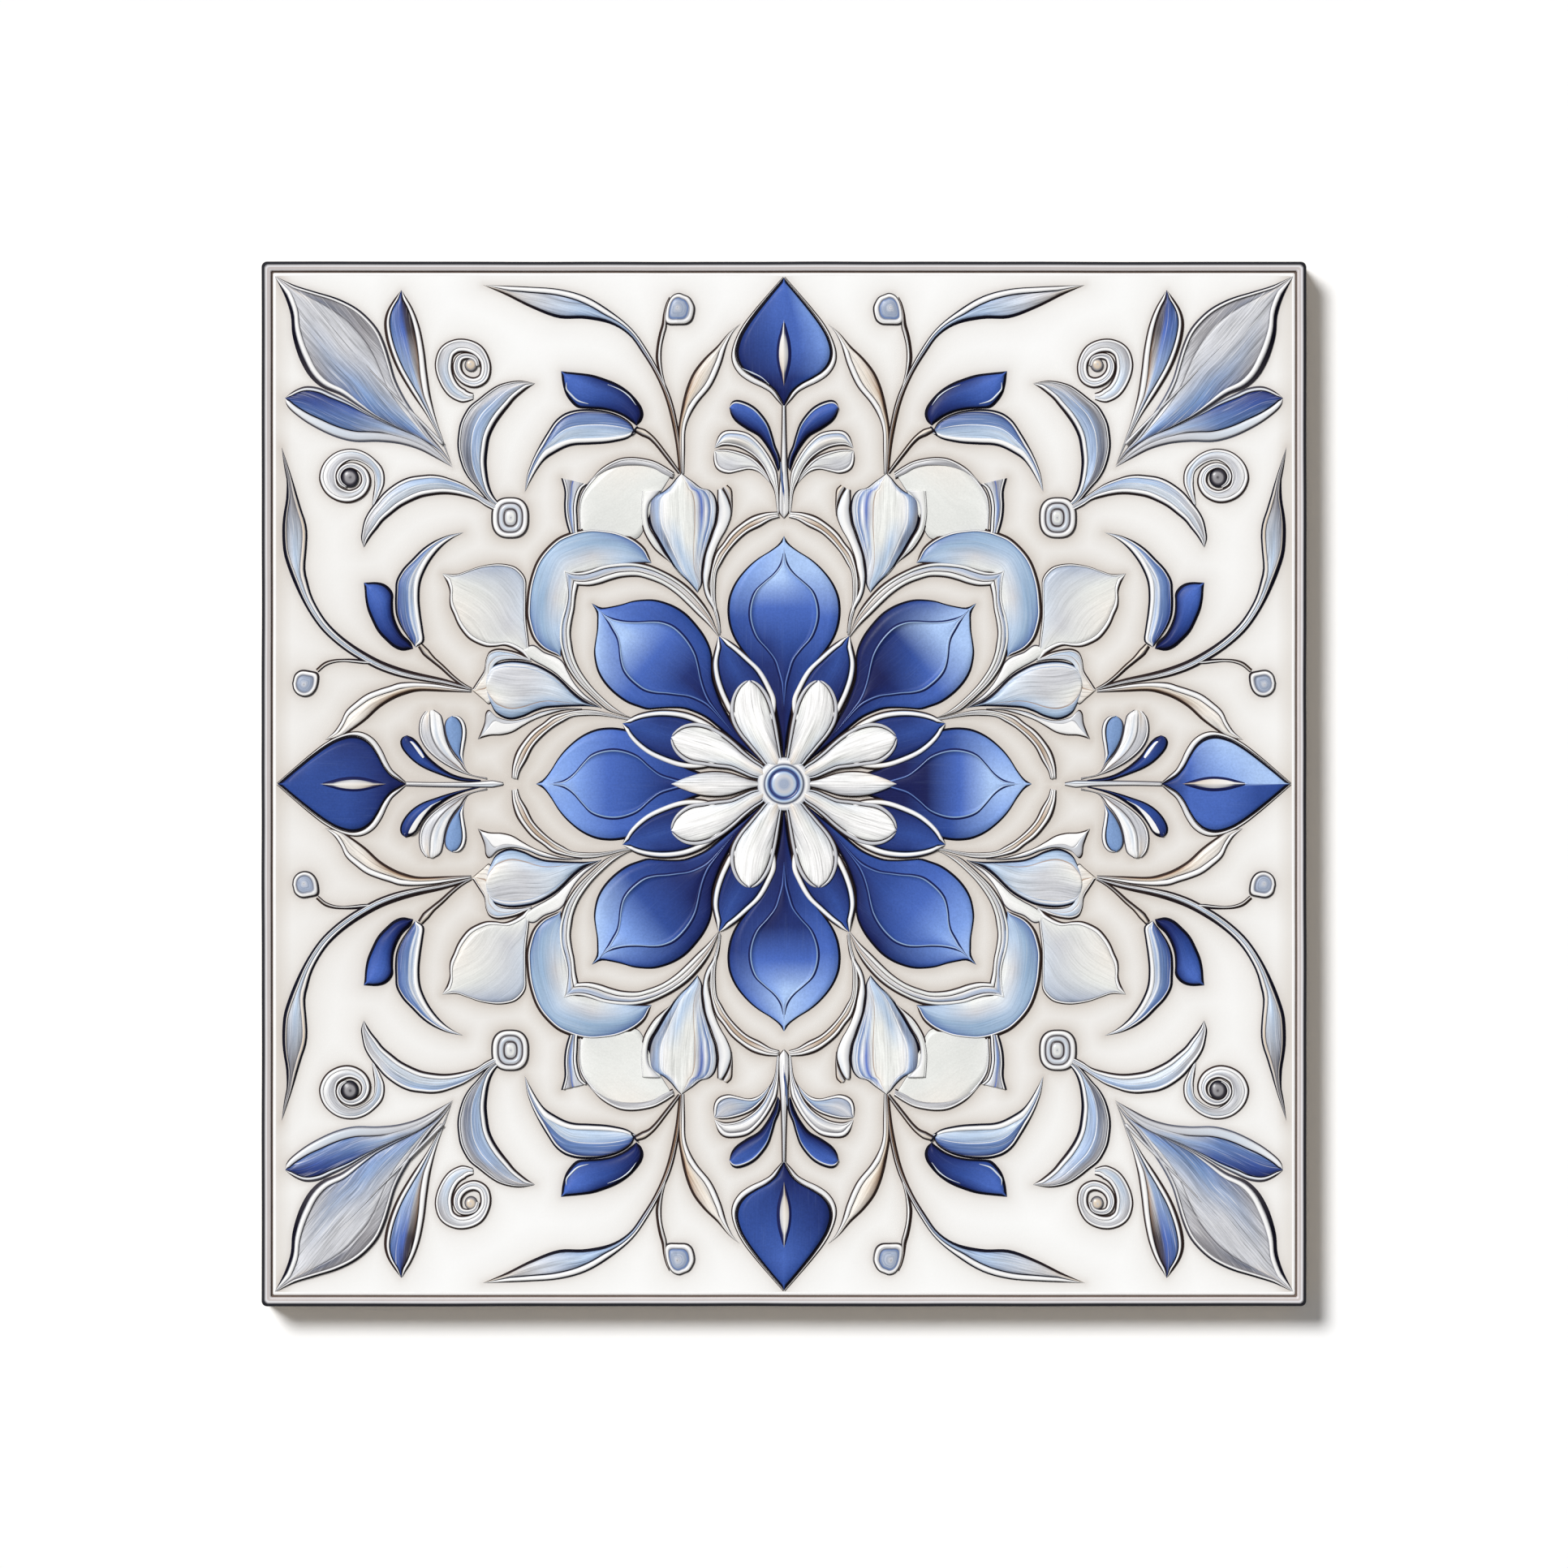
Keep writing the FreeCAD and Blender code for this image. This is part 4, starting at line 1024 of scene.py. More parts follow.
def makeBells():
    bell = Relief("bellFlower")
    for name in ("bellLeaf", "bellPetal"):
        blade(bell, *fanEdges[name], fanLooks[name], rows=56)
    strip(bell, *bellStrips["stem"], fanLooks["bellStem"], rows=40)
    strip(bell, *bellStrips["joint"], fanLooks["joint"], rows=12, base=0.42)
    strip(bell, *bellStrips["lipPaintedHighlight"], paintedHighlightLook, rows=24, base=0.62)
    strip(bell, *bellStrips["edgePaintedHighlight"], paintedHighlightLook, rows=20, base=0.62)
    place(bell, "fourWays")
    sideBell = Relief("sideBellFlower")
    for edges, look in (("sideBellLeaf", "sideBellLeaf"), ("sideBellPetal", "bellPetal")):
        blade(sideBell, *fanEdges[edges], fanLooks[look], rows=56)
    strip(sideBell, *bellStrips["sideStem"], fanLooks["bellStem"], rows=40)
    place(sideBell, "fourWays")


# Behind the cup flowers: a round white petal with the hood over it and the folded hook beside it at the
# top and bottom of the tile, and a pointed petal at its sides.
behindLooks = {
    "round": {
        "ink": (0.05, 0.12), "ridge": (0, 0.2), "line": (0, 0.06), "lineColour": "silver",
        "rise": (0.3, 0.14, 0.2), "fullWidth": 3.0, "columns": 12, "inkColour": "inkGrey", "strokes": 0.12,
        "fill": ["chalk chalk chalk silver", "chalk milk chalk chalk", "milk cream milk pearl"],
    },
    "pointed": {
        "ink": (0.2, 0.1), "ridge": (0.4, 0.2), "line": (0.05, 0.08), "lineColour": "inkGrey",
        "rise": (0.34, 0.16, 0.22), "fullWidth": 3.0, "columns": 14, "inkColour": "inkBrown",
        "strokes": 0.5,
        "fill": ["milk chalk cream chalk", "chalk silver chalk chalk", "silver mist dove silver"],
    },
    "hood": {
        "ink": (0.14, 0.12), "ridge": (0, 0.2), "line": (0, 0.06), "rise": (0.55, 0.34, 0.5),
        "fullWidth": 1.2, "inkColour": "inkBrown", "lineColour": "pewter",
        "fill": ["silver pewter silver silver", "pewter silver pewter pewter", "silver pearl silver cream"],
    },
    "hook": {
        "ink": (0.2, 0.1), "ridge": (0.2, 0.3), "line": (0.05, 0.14), "rise": (0.5, 0.3, 0.34),
        "fullWidth": 1.4, "creases": [(0.45, 0.08, 0.1, "royal")],
        "fill": ["pewter pewter silver", "steel azure pewter", "haze haze silver", "pearl pearl silver"],
    },
}
behindEdges = {
    "round": (
        [(-16.4, 43.9), (-18, 41.2), (-19.5, 38), (-21, 35.2), (-24, 35.4), (-27.4, 35.6), (-29.3, 36.2)],
        [(-16.15, 44.6), (-17.2, 45.6), (-18.6, 46.3), (-20.3, 46.7), (-21.85, 46.85), (-23.4, 46.7),
         (-24.9, 46.15), (-26.3, 45.2), (-27.4, 44.1), (-28.4, 42.9), (-29.2, 41.5), (-29.5, 39.7),
         (-29.45, 37.8), (-29.3, 36.2)]),
    "hood": (
        [(-16, 43.7), (-17.4, 44.3), (-18.6, 45), (-20, 45.4), (-21.5, 45.5), (-23.4, 45.4), (-24.9, 45),
         (-26.2, 44.4), (-28.2, 43.1)],
        [(-15.8, 44.8), (-17.2, 45.7), (-18.6, 46.4), (-20.3, 46.8), (-21.85, 46.95), (-23.4, 46.8),
         (-24.9, 46.2), (-26.4, 45.2), (-28.2, 43.1)]),
    "hook": (
        [(-30.85, 36), (-31.2, 37.1), (-31.5, 38.5), (-31.6, 40), (-31.55, 42), (-32, 43.9)],
        [(-29.5, 36), (-29.6, 38.1), (-29.65, 39.7), (-29.4, 41.2), (-28.9, 42.4), (-28.2, 43)],
    ),
    "pointed": (
        [(-36.3, 17.6), (-38.6, 19.2), (-40.2, 19.8), (-41.5, 19.65), (-42.8, 19.65), (-44.1, 20.1),
         (-45.3, 20.8), (-46.2, 21.8), (-46.9, 22.9), (-47.4, 24.1), (-47.95, 25.4), (-48.05, 26.5),
         (-48, 27.5), (-48.3, 28.6), (-49, 30.1)],
        [(-36.3, 17.6), (-36.6, 20.5), (-37, 24), (-37, 27.5), (-37.1, 29.6), (-38.3, 31.05), (-39.5, 31.5),
         (-41, 31.65), (-42.5, 31.5), (-44, 31.15), (-45.5, 30.6), (-47, 30.15), (-49.05, 30.2)]),
}


def makeBehind():
    for title, names, rows in (("roundPetal", ("round", "hook", "hood"), 52),
                               ("pointedBack", ("pointed",), 60)):
        petal = Relief(title)
        for name in names:
            blade(petal, *behindEdges[name], behindLooks[name], rows)
        place(petal, "fourWays")


# The cup flower: the cup with its folded left and right petals and an ear, and at the sides of the tile
# the cup with a wing, a ring and a low petal.
cupLooks = {
    "body": {
        "ink": ([0.12, 0.2, 0.26, 0.26, 0.24, 0.12], [0.1, 0.14, 0.18, 0.18, 0.16, 0.1]),
        "rise": (0.5, 0.32, 0.6), "fullWidth": 3.0, "columns": 10, "strokes": 0.9, "crown": 2.4,
        "creases": [
            (0.68, 0.012, 0.08, "umber"), (0.93, 0.012, 0.06, "pearl"), (0.15, 0.016, 0.06, "pearl"),
        ],
        "fill": [
            (0, "azure ice haze pewter azure pearl"), (0.1, "haze haze steel haze haze pearl"),
            (0.2, "sky mist mist pearl pearl pearl"), (0.32, "ice ice ice milk milk pearl"),
            (0.5, "ice ice milk milk milk milk"), (0.64, "ice mist milk milk cream milk"),
            (0.72, "haze silver milk silver milk pearl"), (0.79, "silver silver haze royal royal pearl"),
            (0.85, "silver mist mist pearl haze pearl"), (0.9, "silver silver azure azure azure pearl"),
            (0.97, "silver silver haze mist silver pearl"), (1, "steel pewter silver silver silver pearl"),
        ],
    },
    "left": {
        "ink": (0.15, 0.1), "ridge": (0.12, 0), "rise": (0.5, 0.5, 0.62), "fullWidth": 1.1,
        "finish": "pearl", "strokes": 0.5, "inkColour": "inkBrown", "columns": 7,
        "fill": ["silver milk milk", "silver milk pearl", "silver"],
    },
    "right": {
        "ink": (0.12, 0.1), "rise": (0.5, 0.45, 0.62), "fullWidth": 1.1, "finish": "pearl", "strokes": 0.5,
        "inkColour": "inkBrown", "fill": ["silver mist silver silver", "pearl", "pearl pearl pearl mist"],
    },
    "ear": {
        "ink": (0.1, 0.14), "rise": (0.36, 0.3, 0.4), "fullWidth": 1.0, "inkColour": "inkBrown",
        "columns": 4, "fill": ["pewter silver", "silver sand"],
    },
    "sideWing": {
        "ink": (0.1, 0.14), "rise": (0.2, 0.14, 0.22), "fullWidth": 1.6, "inkColour": "inkGrey",
        "columns": 6, "strokes": 0.4, "fill": ["silver pearl milk chalk", "silver pearl pearl chalk"],
    },
    "sideRing": {
        "ink": (0.2, 0.1), "ridge": (0.16, 0), "line": (0.05, 0), "lineColour": "umber",
        "rise": (0.4, 0.3, 0.36), "fullWidth": 1.4, "inkColour": "inkBrown",
        "creases": [(0.42, 0.05, 0.08, "umber")],
        "fill": [
            "silver ice ice silver cream sand", "silver mist mist milk cream cream",
            "silver silver mist silver cream sand",
        ],
    },
    "sideBody": {
        "ink": ([0.14, 0.2, 0.28, 0.24, 0.1], [0.24, 0.36, 0.32, 0.26, 0.2, 0.12]),
        "rise": (0.5, 0.34, 0.72), "fullWidth": 3.0, "columns": 14, "crown": 2.2,
        "creases": [(0.16, 0.02, 0.07, "umber"), (0.93, 0.014, 0.05, "haze")],
        "fill": [
            (0, "azure haze haze sky haze haze"), (0.12, "haze ice haze ice ice silver"),
            (0.2, "haze ice ice mist cream cream"), (0.4, "haze ice mist silver milk cream"),
            (0.66, "haze ice mist silver silver milk"), (0.86, "azure sky mist silver silver mist"),
            (0.96, "steel haze ice pearl pearl pearl"), (1, "steel steel silver haze haze haze"),
        ],
    },
    "sideLow": {
        "ink": (0.14, 0.16), "rise": (0.5, 0.4, 0.5), "fullWidth": 1.4, "finish": "pearl", "strokes": 0.5,
        "inkColour": "inkBrown", "columns": 9, "creases": [(0.58, 0.03, 0.08, "pewter")],
        "fill": [
            (0, "silver pearl pearl pearl"), (0.5, "silver pearl pearl pearl"),
            (0.64, "silver silver silver mist"), (1, "silver mist silver pewter"),
        ],
    },
}
cupEdges = {
    "body": (
        [(-12.4, 27.4), (-13.8, 29), (-15, 30.1), (-15.9, 31.2), (-16.5, 32.2), (-17.2, 33.3),
         (-17.9, 34.5), (-18.4, 35.4), (-19, 36.4), (-19.4, 37.5), (-19.55, 38.6), (-19.5, 39.8),
         (-19.3, 40.7), (-18.7, 41.3), (-17.5, 41.9), (-16.3, 42.9), (-15.4, 44), (-14.7, 44.65)],
        [(-12.4, 27.4), (-11.75, 28.6), (-11.7, 30), (-11.6, 31.2), (-11.35, 32.6), (-11, 33.8),
         (-10.6, 35), (-10.2, 36.2), (-9.8, 37.3), (-9.6, 38.4), (-9.5, 39.4), (-9.6, 40.5), (-9.9, 41.4),
         (-10.6, 42.15), (-11.8, 42.5), (-13, 43.4), (-14, 44.1), (-14.7, 44.65)]),
    "left": (
        [(-14, 29.3), (-15.4, 30.8), (-16.5, 31.9), (-17.6, 32.7), (-18.6, 33.6), (-19.4, 34.7),
         (-20.1, 36), (-20.45, 37.2), (-20.65, 38.6), (-20.65, 40), (-20.55, 42.05)],
        [(-14, 29.3), (-15.1, 30.3), (-15.9, 31.3), (-16.5, 32.3), (-17.2, 33.4), (-17.9, 34.6),
         (-18.5, 35.6), (-19.1, 36.6), (-19.4, 37.6), (-19.5, 38.6), (-19.4, 39.8), (-19.1, 40.6),
         (-18.4, 41.3), (-17.6, 42.1)]),
    "right": (
        [(-9.2, 21.7), (-9.5, 23), (-10, 24.5), (-10.5, 25.5), (-11.1, 26.5), (-11.5, 27.6), (-11.7, 28.8),
         (-11.75, 30), (-11.6, 31.2), (-11.4, 32.6), (-11.05, 33.8), (-10.6, 35), (-10.2, 36.2),
         (-9.8, 37.3), (-9.6, 38.4), (-9.5, 39.4), (-9.6, 40.5), (-9.6, 42.2)],
        [(-9, 21.7), (-9.3, 24.3), (-9.9, 26), (-10.5, 27.3), (-10.8, 28.5), (-10.65, 29.8), (-10.4, 31),
         (-10.15, 32.3), (-9.8, 33.4), (-9.4, 34.4), (-8.9, 35.4), (-8.3, 36.4), (-7.85, 37.4),
         (-7.55, 38.3), (-7.5, 39.3), (-7.8, 40.4), (-8.2, 41.4), (-8.8, 42.4)]),
    "sideWing": (
        [(-26.2, 10.8), (-27.6, 11.5), (-28.8, 12.2), (-30.3, 13.5), (-31.6, 14.7), (-32.8, 15.8),
         (-34.4, 16.8), (-35.9, 17.6), (-37, 18.4), (-38, 19.2)],
        [(-26.2, 11), (-27.3, 11.9), (-28.8, 13.1), (-30.1, 14.6), (-31, 16.2), (-31.7, 17.6),
         (-32.6, 18.3), (-34.4, 19), (-36, 20), (-38, 19.2)]),
    "sideRing": (
        [(-36.4, 17.9), (-37.2, 18.5), (-38, 18.9), (-39.7, 19.35), (-41.3, 19.45), (-42.3, 19),
         (-42.8, 17.9), (-43.05, 16.4), (-43.95, 14.9), (-44.85, 13.5)],
        [(-36.2, 17.5), (-37.4, 17.7), (-39.2, 17.8), (-40.7, 17.6), (-41.6, 17), (-42, 16), (-42.2, 14.6),
         (-41.8, 12.6), (-42.3, 11.4), (-43.2, 12.1), (-44.85, 13.5)]),
    "sideBody": (
        [(-26, 10.9), (-27.8, 11.1), (-30.3, 11.1), (-32.3, 11), (-34.4, 10.8), (-35.9, 10.3), (-37.4, 9.6),
         (-39.2, 9.2), (-40.4, 9.5), (-41.4, 10.2), (-42, 11.3), (-42.5, 12.6), (-42.8, 14)],
        [(-26, 10.9), (-27.2, 11.3), (-28.8, 12.2), (-30.3, 13.4), (-31.6, 14.7), (-32.8, 15.75),
         (-34.4, 16.7), (-35.9, 17.35), (-37.4, 17.65), (-39.2, 17.75), (-40.7, 17.5), (-41.8, 17),
         (-42.4, 16.2), (-42.75, 15.2), (-42.8, 14)]),
    "sideLow": (
        [(-29, 10.7), (-31.6, 10.5), (-33.85, 9.9), (-35.9, 9.15), (-37.4, 8.3), (-38.9, 7.4), (-40.4, 7),
         (-42.2, 6.9), (-43.96, 6.4)],
        [(-29, 10.85), (-31.8, 10.9), (-34.9, 10.4), (-37.1, 9.5), (-39.2, 9.15), (-41.3, 9.7),
         (-42.4, 10.7), (-42.8, 10.3), (-43, 8.9), (-43.5, 7.5), (-43.96, 6.4)]),
    "ear": (
        [(-7.5, 38.4), (-7.55, 39.4), (-7.85, 40.4), (-8.25, 41.4), (-8.85, 42.5)],
        [(-7.45, 38.4), (-7.35, 39.6), (-7.35, 41), (-7.5, 42.3), (-8.1, 42.95)],
    ),
}


def makeCup():
    for title, names in (("cupFlower", ("body", "ear", "left", "right")),
                         ("sideCupFlower", ("sideWing", "sideRing", "sideBody", "sideLow"))):
        cup = Relief(title)
        for name in names:
            blade(cup, *cupEdges[name], cupLooks[name], rows=64)
        place(cup, "fourWays")


# The pale blue heart on each diagonal, and the white frame that comes to a point inside it.
heartLook = {
    "ink": (0.1, 0.27), "ridge": (0, 0.18), "line": (0, 0.1), "lineColour": "azure",
    "rise": (0.5, 0.3, 0.5), "fullWidth": 4.0, "columns": 14, "inkColour": "inkBrown", "strokes": 0.55,
    "fill": [
        "azure ice milk milk milk ice azure", "sky ice silver mist silver ice sky",
        "azure sky sky ice sky sky azure", "azure azure sky sky sky azure azure",
    ],
}
heartOuter = [
    (-19, 31.7), (-19.4, 32.9), (-20, 34), (-21.1, 35), (-22.3, 35.7), (-24.15, 36.4), (-26, 36.7),
    (-28, 36.8), (-29.7, 36.5), (-30.9, 36.1), (-32.6, 35.3), (-34.6, 33.4), (-35.6, 31.9), (-36.3, 30.1),
    (-36.8, 28), (-37, 26), (-37.05, 24.4), (-36.8, 22.9), (-36.1, 20.9), (-34.9, 19.5), (-33.6, 18.8),
    (-32, 18.2),
]
heartInner = [
    (-19, 31.7), (-21.85, 31.6), (-24.15, 31.3), (-26, 31.1), (-28.5, 30.4), (-30.2, 30.1), (-30.6, 28.5),
    (-31.1, 26), (-31.3, 24.15), (-31.5, 21.85), (-32, 18.2),
]
frameLook = {
    "ink": (0.16, 0.28), "ridge": ([0.4, 0.6, 0.6, 0.6], [0.2, 0.35, 0.45, 0.3]),
    "line": ([0.05, 0.14, 0.16], [0.05, 0.16, 0.14]), "rise": (0.62, 0.4, 0.5), "fullWidth": 1.6,
    "lineColour": "inkBrown", "inkColour": "inkBrown", "keep": 0.75, "ridgeColour": "pearl milk pearl",
    "fill": ["silver cream pearl cream", "umber silver silver haze", "sand cream haze silver"],
}
frameOuter = [
    (-9.5, 21.6), (-10.4, 24.1), (-11.6, 26.1), (-13.6, 28.3), (-15.6, 29.75), (-17.6, 30.8), (-19.6, 31.6),
    (-21.85, 32), (-24.15, 31.95), (-26.3, 31.6), (-27.8, 31.05), (-29.4, 30.6), (-30.8, 30.6),
    (-31.9, 30.95),
]
frameInner = [
    (-9.3, 21), (-10.9, 22.8), (-12.5, 24.3), (-14, 25.8), (-15.5, 27.2), (-17.4, 28.5), (-19.4, 29.3),
    (-20.9, 29.7), (-23.2, 29.6), (-24.8, 29.2), (-26.3, 28.7), (-27.8, 28.4), (-29.5, 28.45),
]
sideFrameOuter = [
    (-21.6, 9.5), (-23.3, 9.9), (-25.4, 10.6), (-26.9, 11.8), (-28.3, 13.1), (-29.7, 14.5), (-30.9, 16.15),
    (-31.7, 17.7), (-32.2, 19.4), (-32.5, 20.9), (-32.45, 22.5), (-32.2, 24), (-31.65, 25.7),
    (-31.35, 27.4), (-31.5, 29.2), (-31.9, 30.95),
]
sideFrameInner = [
    (-21, 9.3), (-22.5, 9.8), (-24.2, 10.9), (-25.7, 12.15), (-27.4, 13.85), (-28.8, 15.7), (-29.5, 16.9),
    (-30.15, 18.6), (-30.4, 20), (-30.6, 21.5), (-30.4, 23.4), (-30.1, 24.9), (-29.85, 26.9),
    (-29.5, 28.45),
]


def makeHeart():
    for title, inner, outer, look, rows in (
            ("diagonalHeart", heartInner, heartOuter, heartLook, 84),
            ("pointedFrame", frameInner, frameOuter, frameLook, 60),
            ("sideFrame", sideFrameInner, sideFrameOuter, frameLook, 60)):
        piece = Relief(title)
        blade(piece, inner, outer, look, rows)
        place(piece, "fourWays")


# The large cobalt petals of the rosette, on the axes and on the diagonals, each with a fine contour.
petalLook = {
    "ink": (0.26, 0.26), "rise": (0.6, 0.34, 0.42), "fullWidth": 3.0, "finish": "cobalt", "strokes": 0.3,
    "columns": 12,
}
contourLook = {
    "ink": (0.17, 0.17), "ridge": (0.2, 0.2), "rise": (0.13, 0.07, 0.2), "fullWidth": 1.5,
    "finish": "cobalt", "strokes": 0.3, "columns": 12, "inkColour": "night",
    "ridgeColour": "royal azure sky ice", "ridgeShade": "deep cobalt royal",
}
# Each petal's quarter turn and whether it is mirrored, then the colours of its outer band and of the panel
# inside the contour, from one side to the other and each from root to tip.
axialFills = [
    (0, False,
     ["night night deep cobalt peri bright", "night night deep royal bright bright",
      "night deep cobalt royal bright bright"],
     ["night deep deep royal bright bright", "night deep cobalt royal bright bright",
      "night deep cobalt royal peri bright"]),
    (1, False,
     ["night deep cobalt royal peri peri", "night deep cobalt royal peri bright",
      "night deep cobalt royal peri peri"],
     ["night deep cobalt royal peri bright", "night deep cobalt royal peri bright",
      "night deep cobalt royal peri peri"]),
    (2, False,
     ["night deep cobalt royal peri bright", "night night deep royal bright bright",
      "night night deep deep royal peri"],
     ["night deep deep royal bright bright", "night night deep royal bright bright",
      "night night night royal peri bright"]),
    (3, False,
     ["night night night cobalt peri bright", "night night night cobalt bright bright",
      "night night night cobalt peri bright"],
     ["night night night royal bright bright"] * 3),
]
upperFills = [
    (0, False,
     ["night deep cobalt royal bright bright", "night deep cobalt royal peri",
      "night night deep cobalt cobalt royal royal"],
     ["night deep cobalt royal bright bright", "night night deep royal bright bright",
      "night night deep royal peri bright"]),
    (0, True,
     ["night deep cobalt royal bright bright", "night night deep cobalt bright bright",
      "night night night night cobalt bright"],
     ["night night deep royal bright bright", "night night night cobalt bright bright",
      "night night night deep bright bright"]),
]
lowerFills = [
    (2, False,
     ["night cobalt cobalt royal peri bright", "night deep cobalt royal peri bright",
      "night night night night cobalt royal"],
     ["night deep cobalt royal peri bright", "night deep cobalt royal peri bright",
      "night deep deep cobalt royal peri"]),
    (2, True,
     ["night cobalt deep cobalt bright bright", "night night deep cobalt peri bright",
      "night night night deep cobalt royal"],
     ["night night deep cobalt peri bright", "night night deep cobalt peri bright",
      "night night night cobalt peri bright"]),
]
axialEdge = [
    (0, 3.2), (-0.35, 5), (-0.65, 7), (-0.95, 8.8), (-1.3, 10.4), (-1.75, 12), (-2.25, 13.5), (-3, 15),
    (-4, 16.6), (-5.2, 18), (-7, 20.5), (-7.75, 22.2), (-8.1, 23.9), (-8.15, 25.3), (-7.9, 27), (-7, 29),
    (-5.4, 31), (-3.9, 32.3), (-2, 33.5), (-0.75, 34.5), (0, 35.6),
]
axialContour = [
    (0, 11), (-0.5, 14), (-1, 16), (-1.6, 17.8), (-2.7, 19.3), (-4.1, 20.9), (-4.85, 22.6), (-5.15, 24.3),
    (-4.95, 26.1), (-4.3, 27.7), (-3.1, 28.9), (-1.7, 30.1), (-0.9, 31.1), (-0.4, 32.2), (0, 34),
]
# A diagonal petal's lower left edge, then its upper edge, then the same for the contour inside.
diagonalEdges = (
    [(-2.8, 2.7), (-6.6, 5.6), (-9.2, 7.8), (-11.2, 9.4), (-12.8, 10.2), (-14.5, 10.75), (-16.3, 10.85),
     (-18.3, 10.75), (-19.7, 10.65), (-20.9, 11), (-22.5, 11.6), (-24, 12.6), (-25.2, 13.7), (-26.15, 14.9),
     (-26.8, 16.15), (-27.15, 17.5), (-27.3, 18.9), (-27.15, 20.3), (-26.9, 21.85), (-26.85, 23.2),
     (-26.9, 24.5), (-27.6, 25.95)],
    [(-2.7, 2.8), (-4.9, 5.5), (-6.4, 7.5), (-7.8, 9.7), (-8.8, 11.5), (-9.6, 13.5), (-10.15, 15.3),
     (-10.25, 17.1), (-10.3, 18.6), (-10.65, 19.9), (-11.4, 21.4), (-12.5, 22.9), (-14, 24.5),
     (-15.5, 25.5), (-17.1, 26.15), (-18.6, 26.5), (-20.15, 26.5), (-21.7, 26.3), (-23.2, 25.85),
     (-24.8, 25.5), (-26.15, 25.35), (-27.6, 25.95)])
diagonalContours = (
    [(-7, 7), (-9.2, 9.3), (-10.9, 10.9), (-12.5, 11.85), (-14, 12.4), (-15.5, 12.6), (-17.1, 12.8),
     (-18.6, 12.9), (-20.15, 13.3), (-21.4, 14.15), (-22.5, 15.2), (-23.15, 16.15), (-23.5, 17.2),
     (-23.7, 18.5), (-23.8, 19.7), (-24.1, 20.9), (-24.8, 22.15), (-25.5, 23.4), (-26.5, 25)],
    [(-7, 7), (-8.6, 9.2), (-10.3, 11.7), (-11.2, 13.5), (-11.85, 15.7), (-12.15, 17.2), (-12.6, 18.8),
     (-13.4, 20.3), (-14.5, 21.7), (-15.8, 22.8), (-17.4, 23.4), (-18.9, 23.5), (-20.9, 23.4),
     (-22.9, 23.5), (-24.5, 23.85), (-25.7, 24.3), (-26.5, 25)])


def makePetals():
    axialEdges, axialContours = (axialEdge, mirrored(axialEdge)), (axialContour, mirrored(axialContour))
    for title, edges, contours, fills in (
            ("axialPetal", axialEdges, axialContours, axialFills),
            ("upperDiagonalPetal", diagonalEdges, diagonalContours, upperFills),
            ("lowerDiagonalPetal", diagonalEdges, diagonalContours, lowerFills)):
        petals = Relief(title)
        for quarter, flip, band, panel in fills:
            left, right = (turned(line, quarter, flip) for line in edges)
            blade(petals, left, right, dict(petalLook, fill=band), rows=72)
            left, right = (turned(line, quarter, flip) for line in contours)
            blade(petals, left, right, dict(contourLook, fill=panel), rows=60, base=0.4)
        place(petals, "once")


# The small dark petals with white frames, the white petals over them, and a pointed one on either side.
innerLooks = {
    "frame": {
        "ink": (0.2, 0.18), "ridge": (0.6, 0.62), "line": (0.22, 0.24), "rise": (0.8, 0.6, 0.62),
        "fullWidth": 3.0, "columns": 10, "finish": "cobalt", "strokes": 0.3, "inkColour": "inkBrown",
        "ridgeShade": "silver cream haze pewter",
        "fill": ["night night deep cobalt", "night deep cobalt cobalt", "night deep deep royal"],
    },
    "white": {
        "ink": (0.12, 0.12), "ridge": ([0.1, 0.4, 0.55, 0.6], [0.1, 0.4, 0.55, 0.6]), "line": (0.12, 0.14),
        "lineColour": "inkBrown", "rise": (1.0, 0.85, 1.12), "fullWidth": 2.6, "columns": 12,
        "inkColour": "inkBrown", "strokes": 1.3, "ridgeColour": "mist silver silver silver",
        "ridgeShade": "silver pewter inkGrey inkBrown",
        "fill": [
            "silver mist pearl milk", "silver milk pearl pearl", "sand pearl pearl pearl",
            "silver silver milk silver",
        ],
    },
    "pointed": {
        "ink": (0.14, 0.14), "rise": (1.0, 0.85, 1.1), "fullWidth": 1.8, "columns": 10, "strokes": 1.5,
        "inkColour": "inkBrown", "fill": ["silver pearl sand", "pearl", "pewter silver mist"],
    },
}
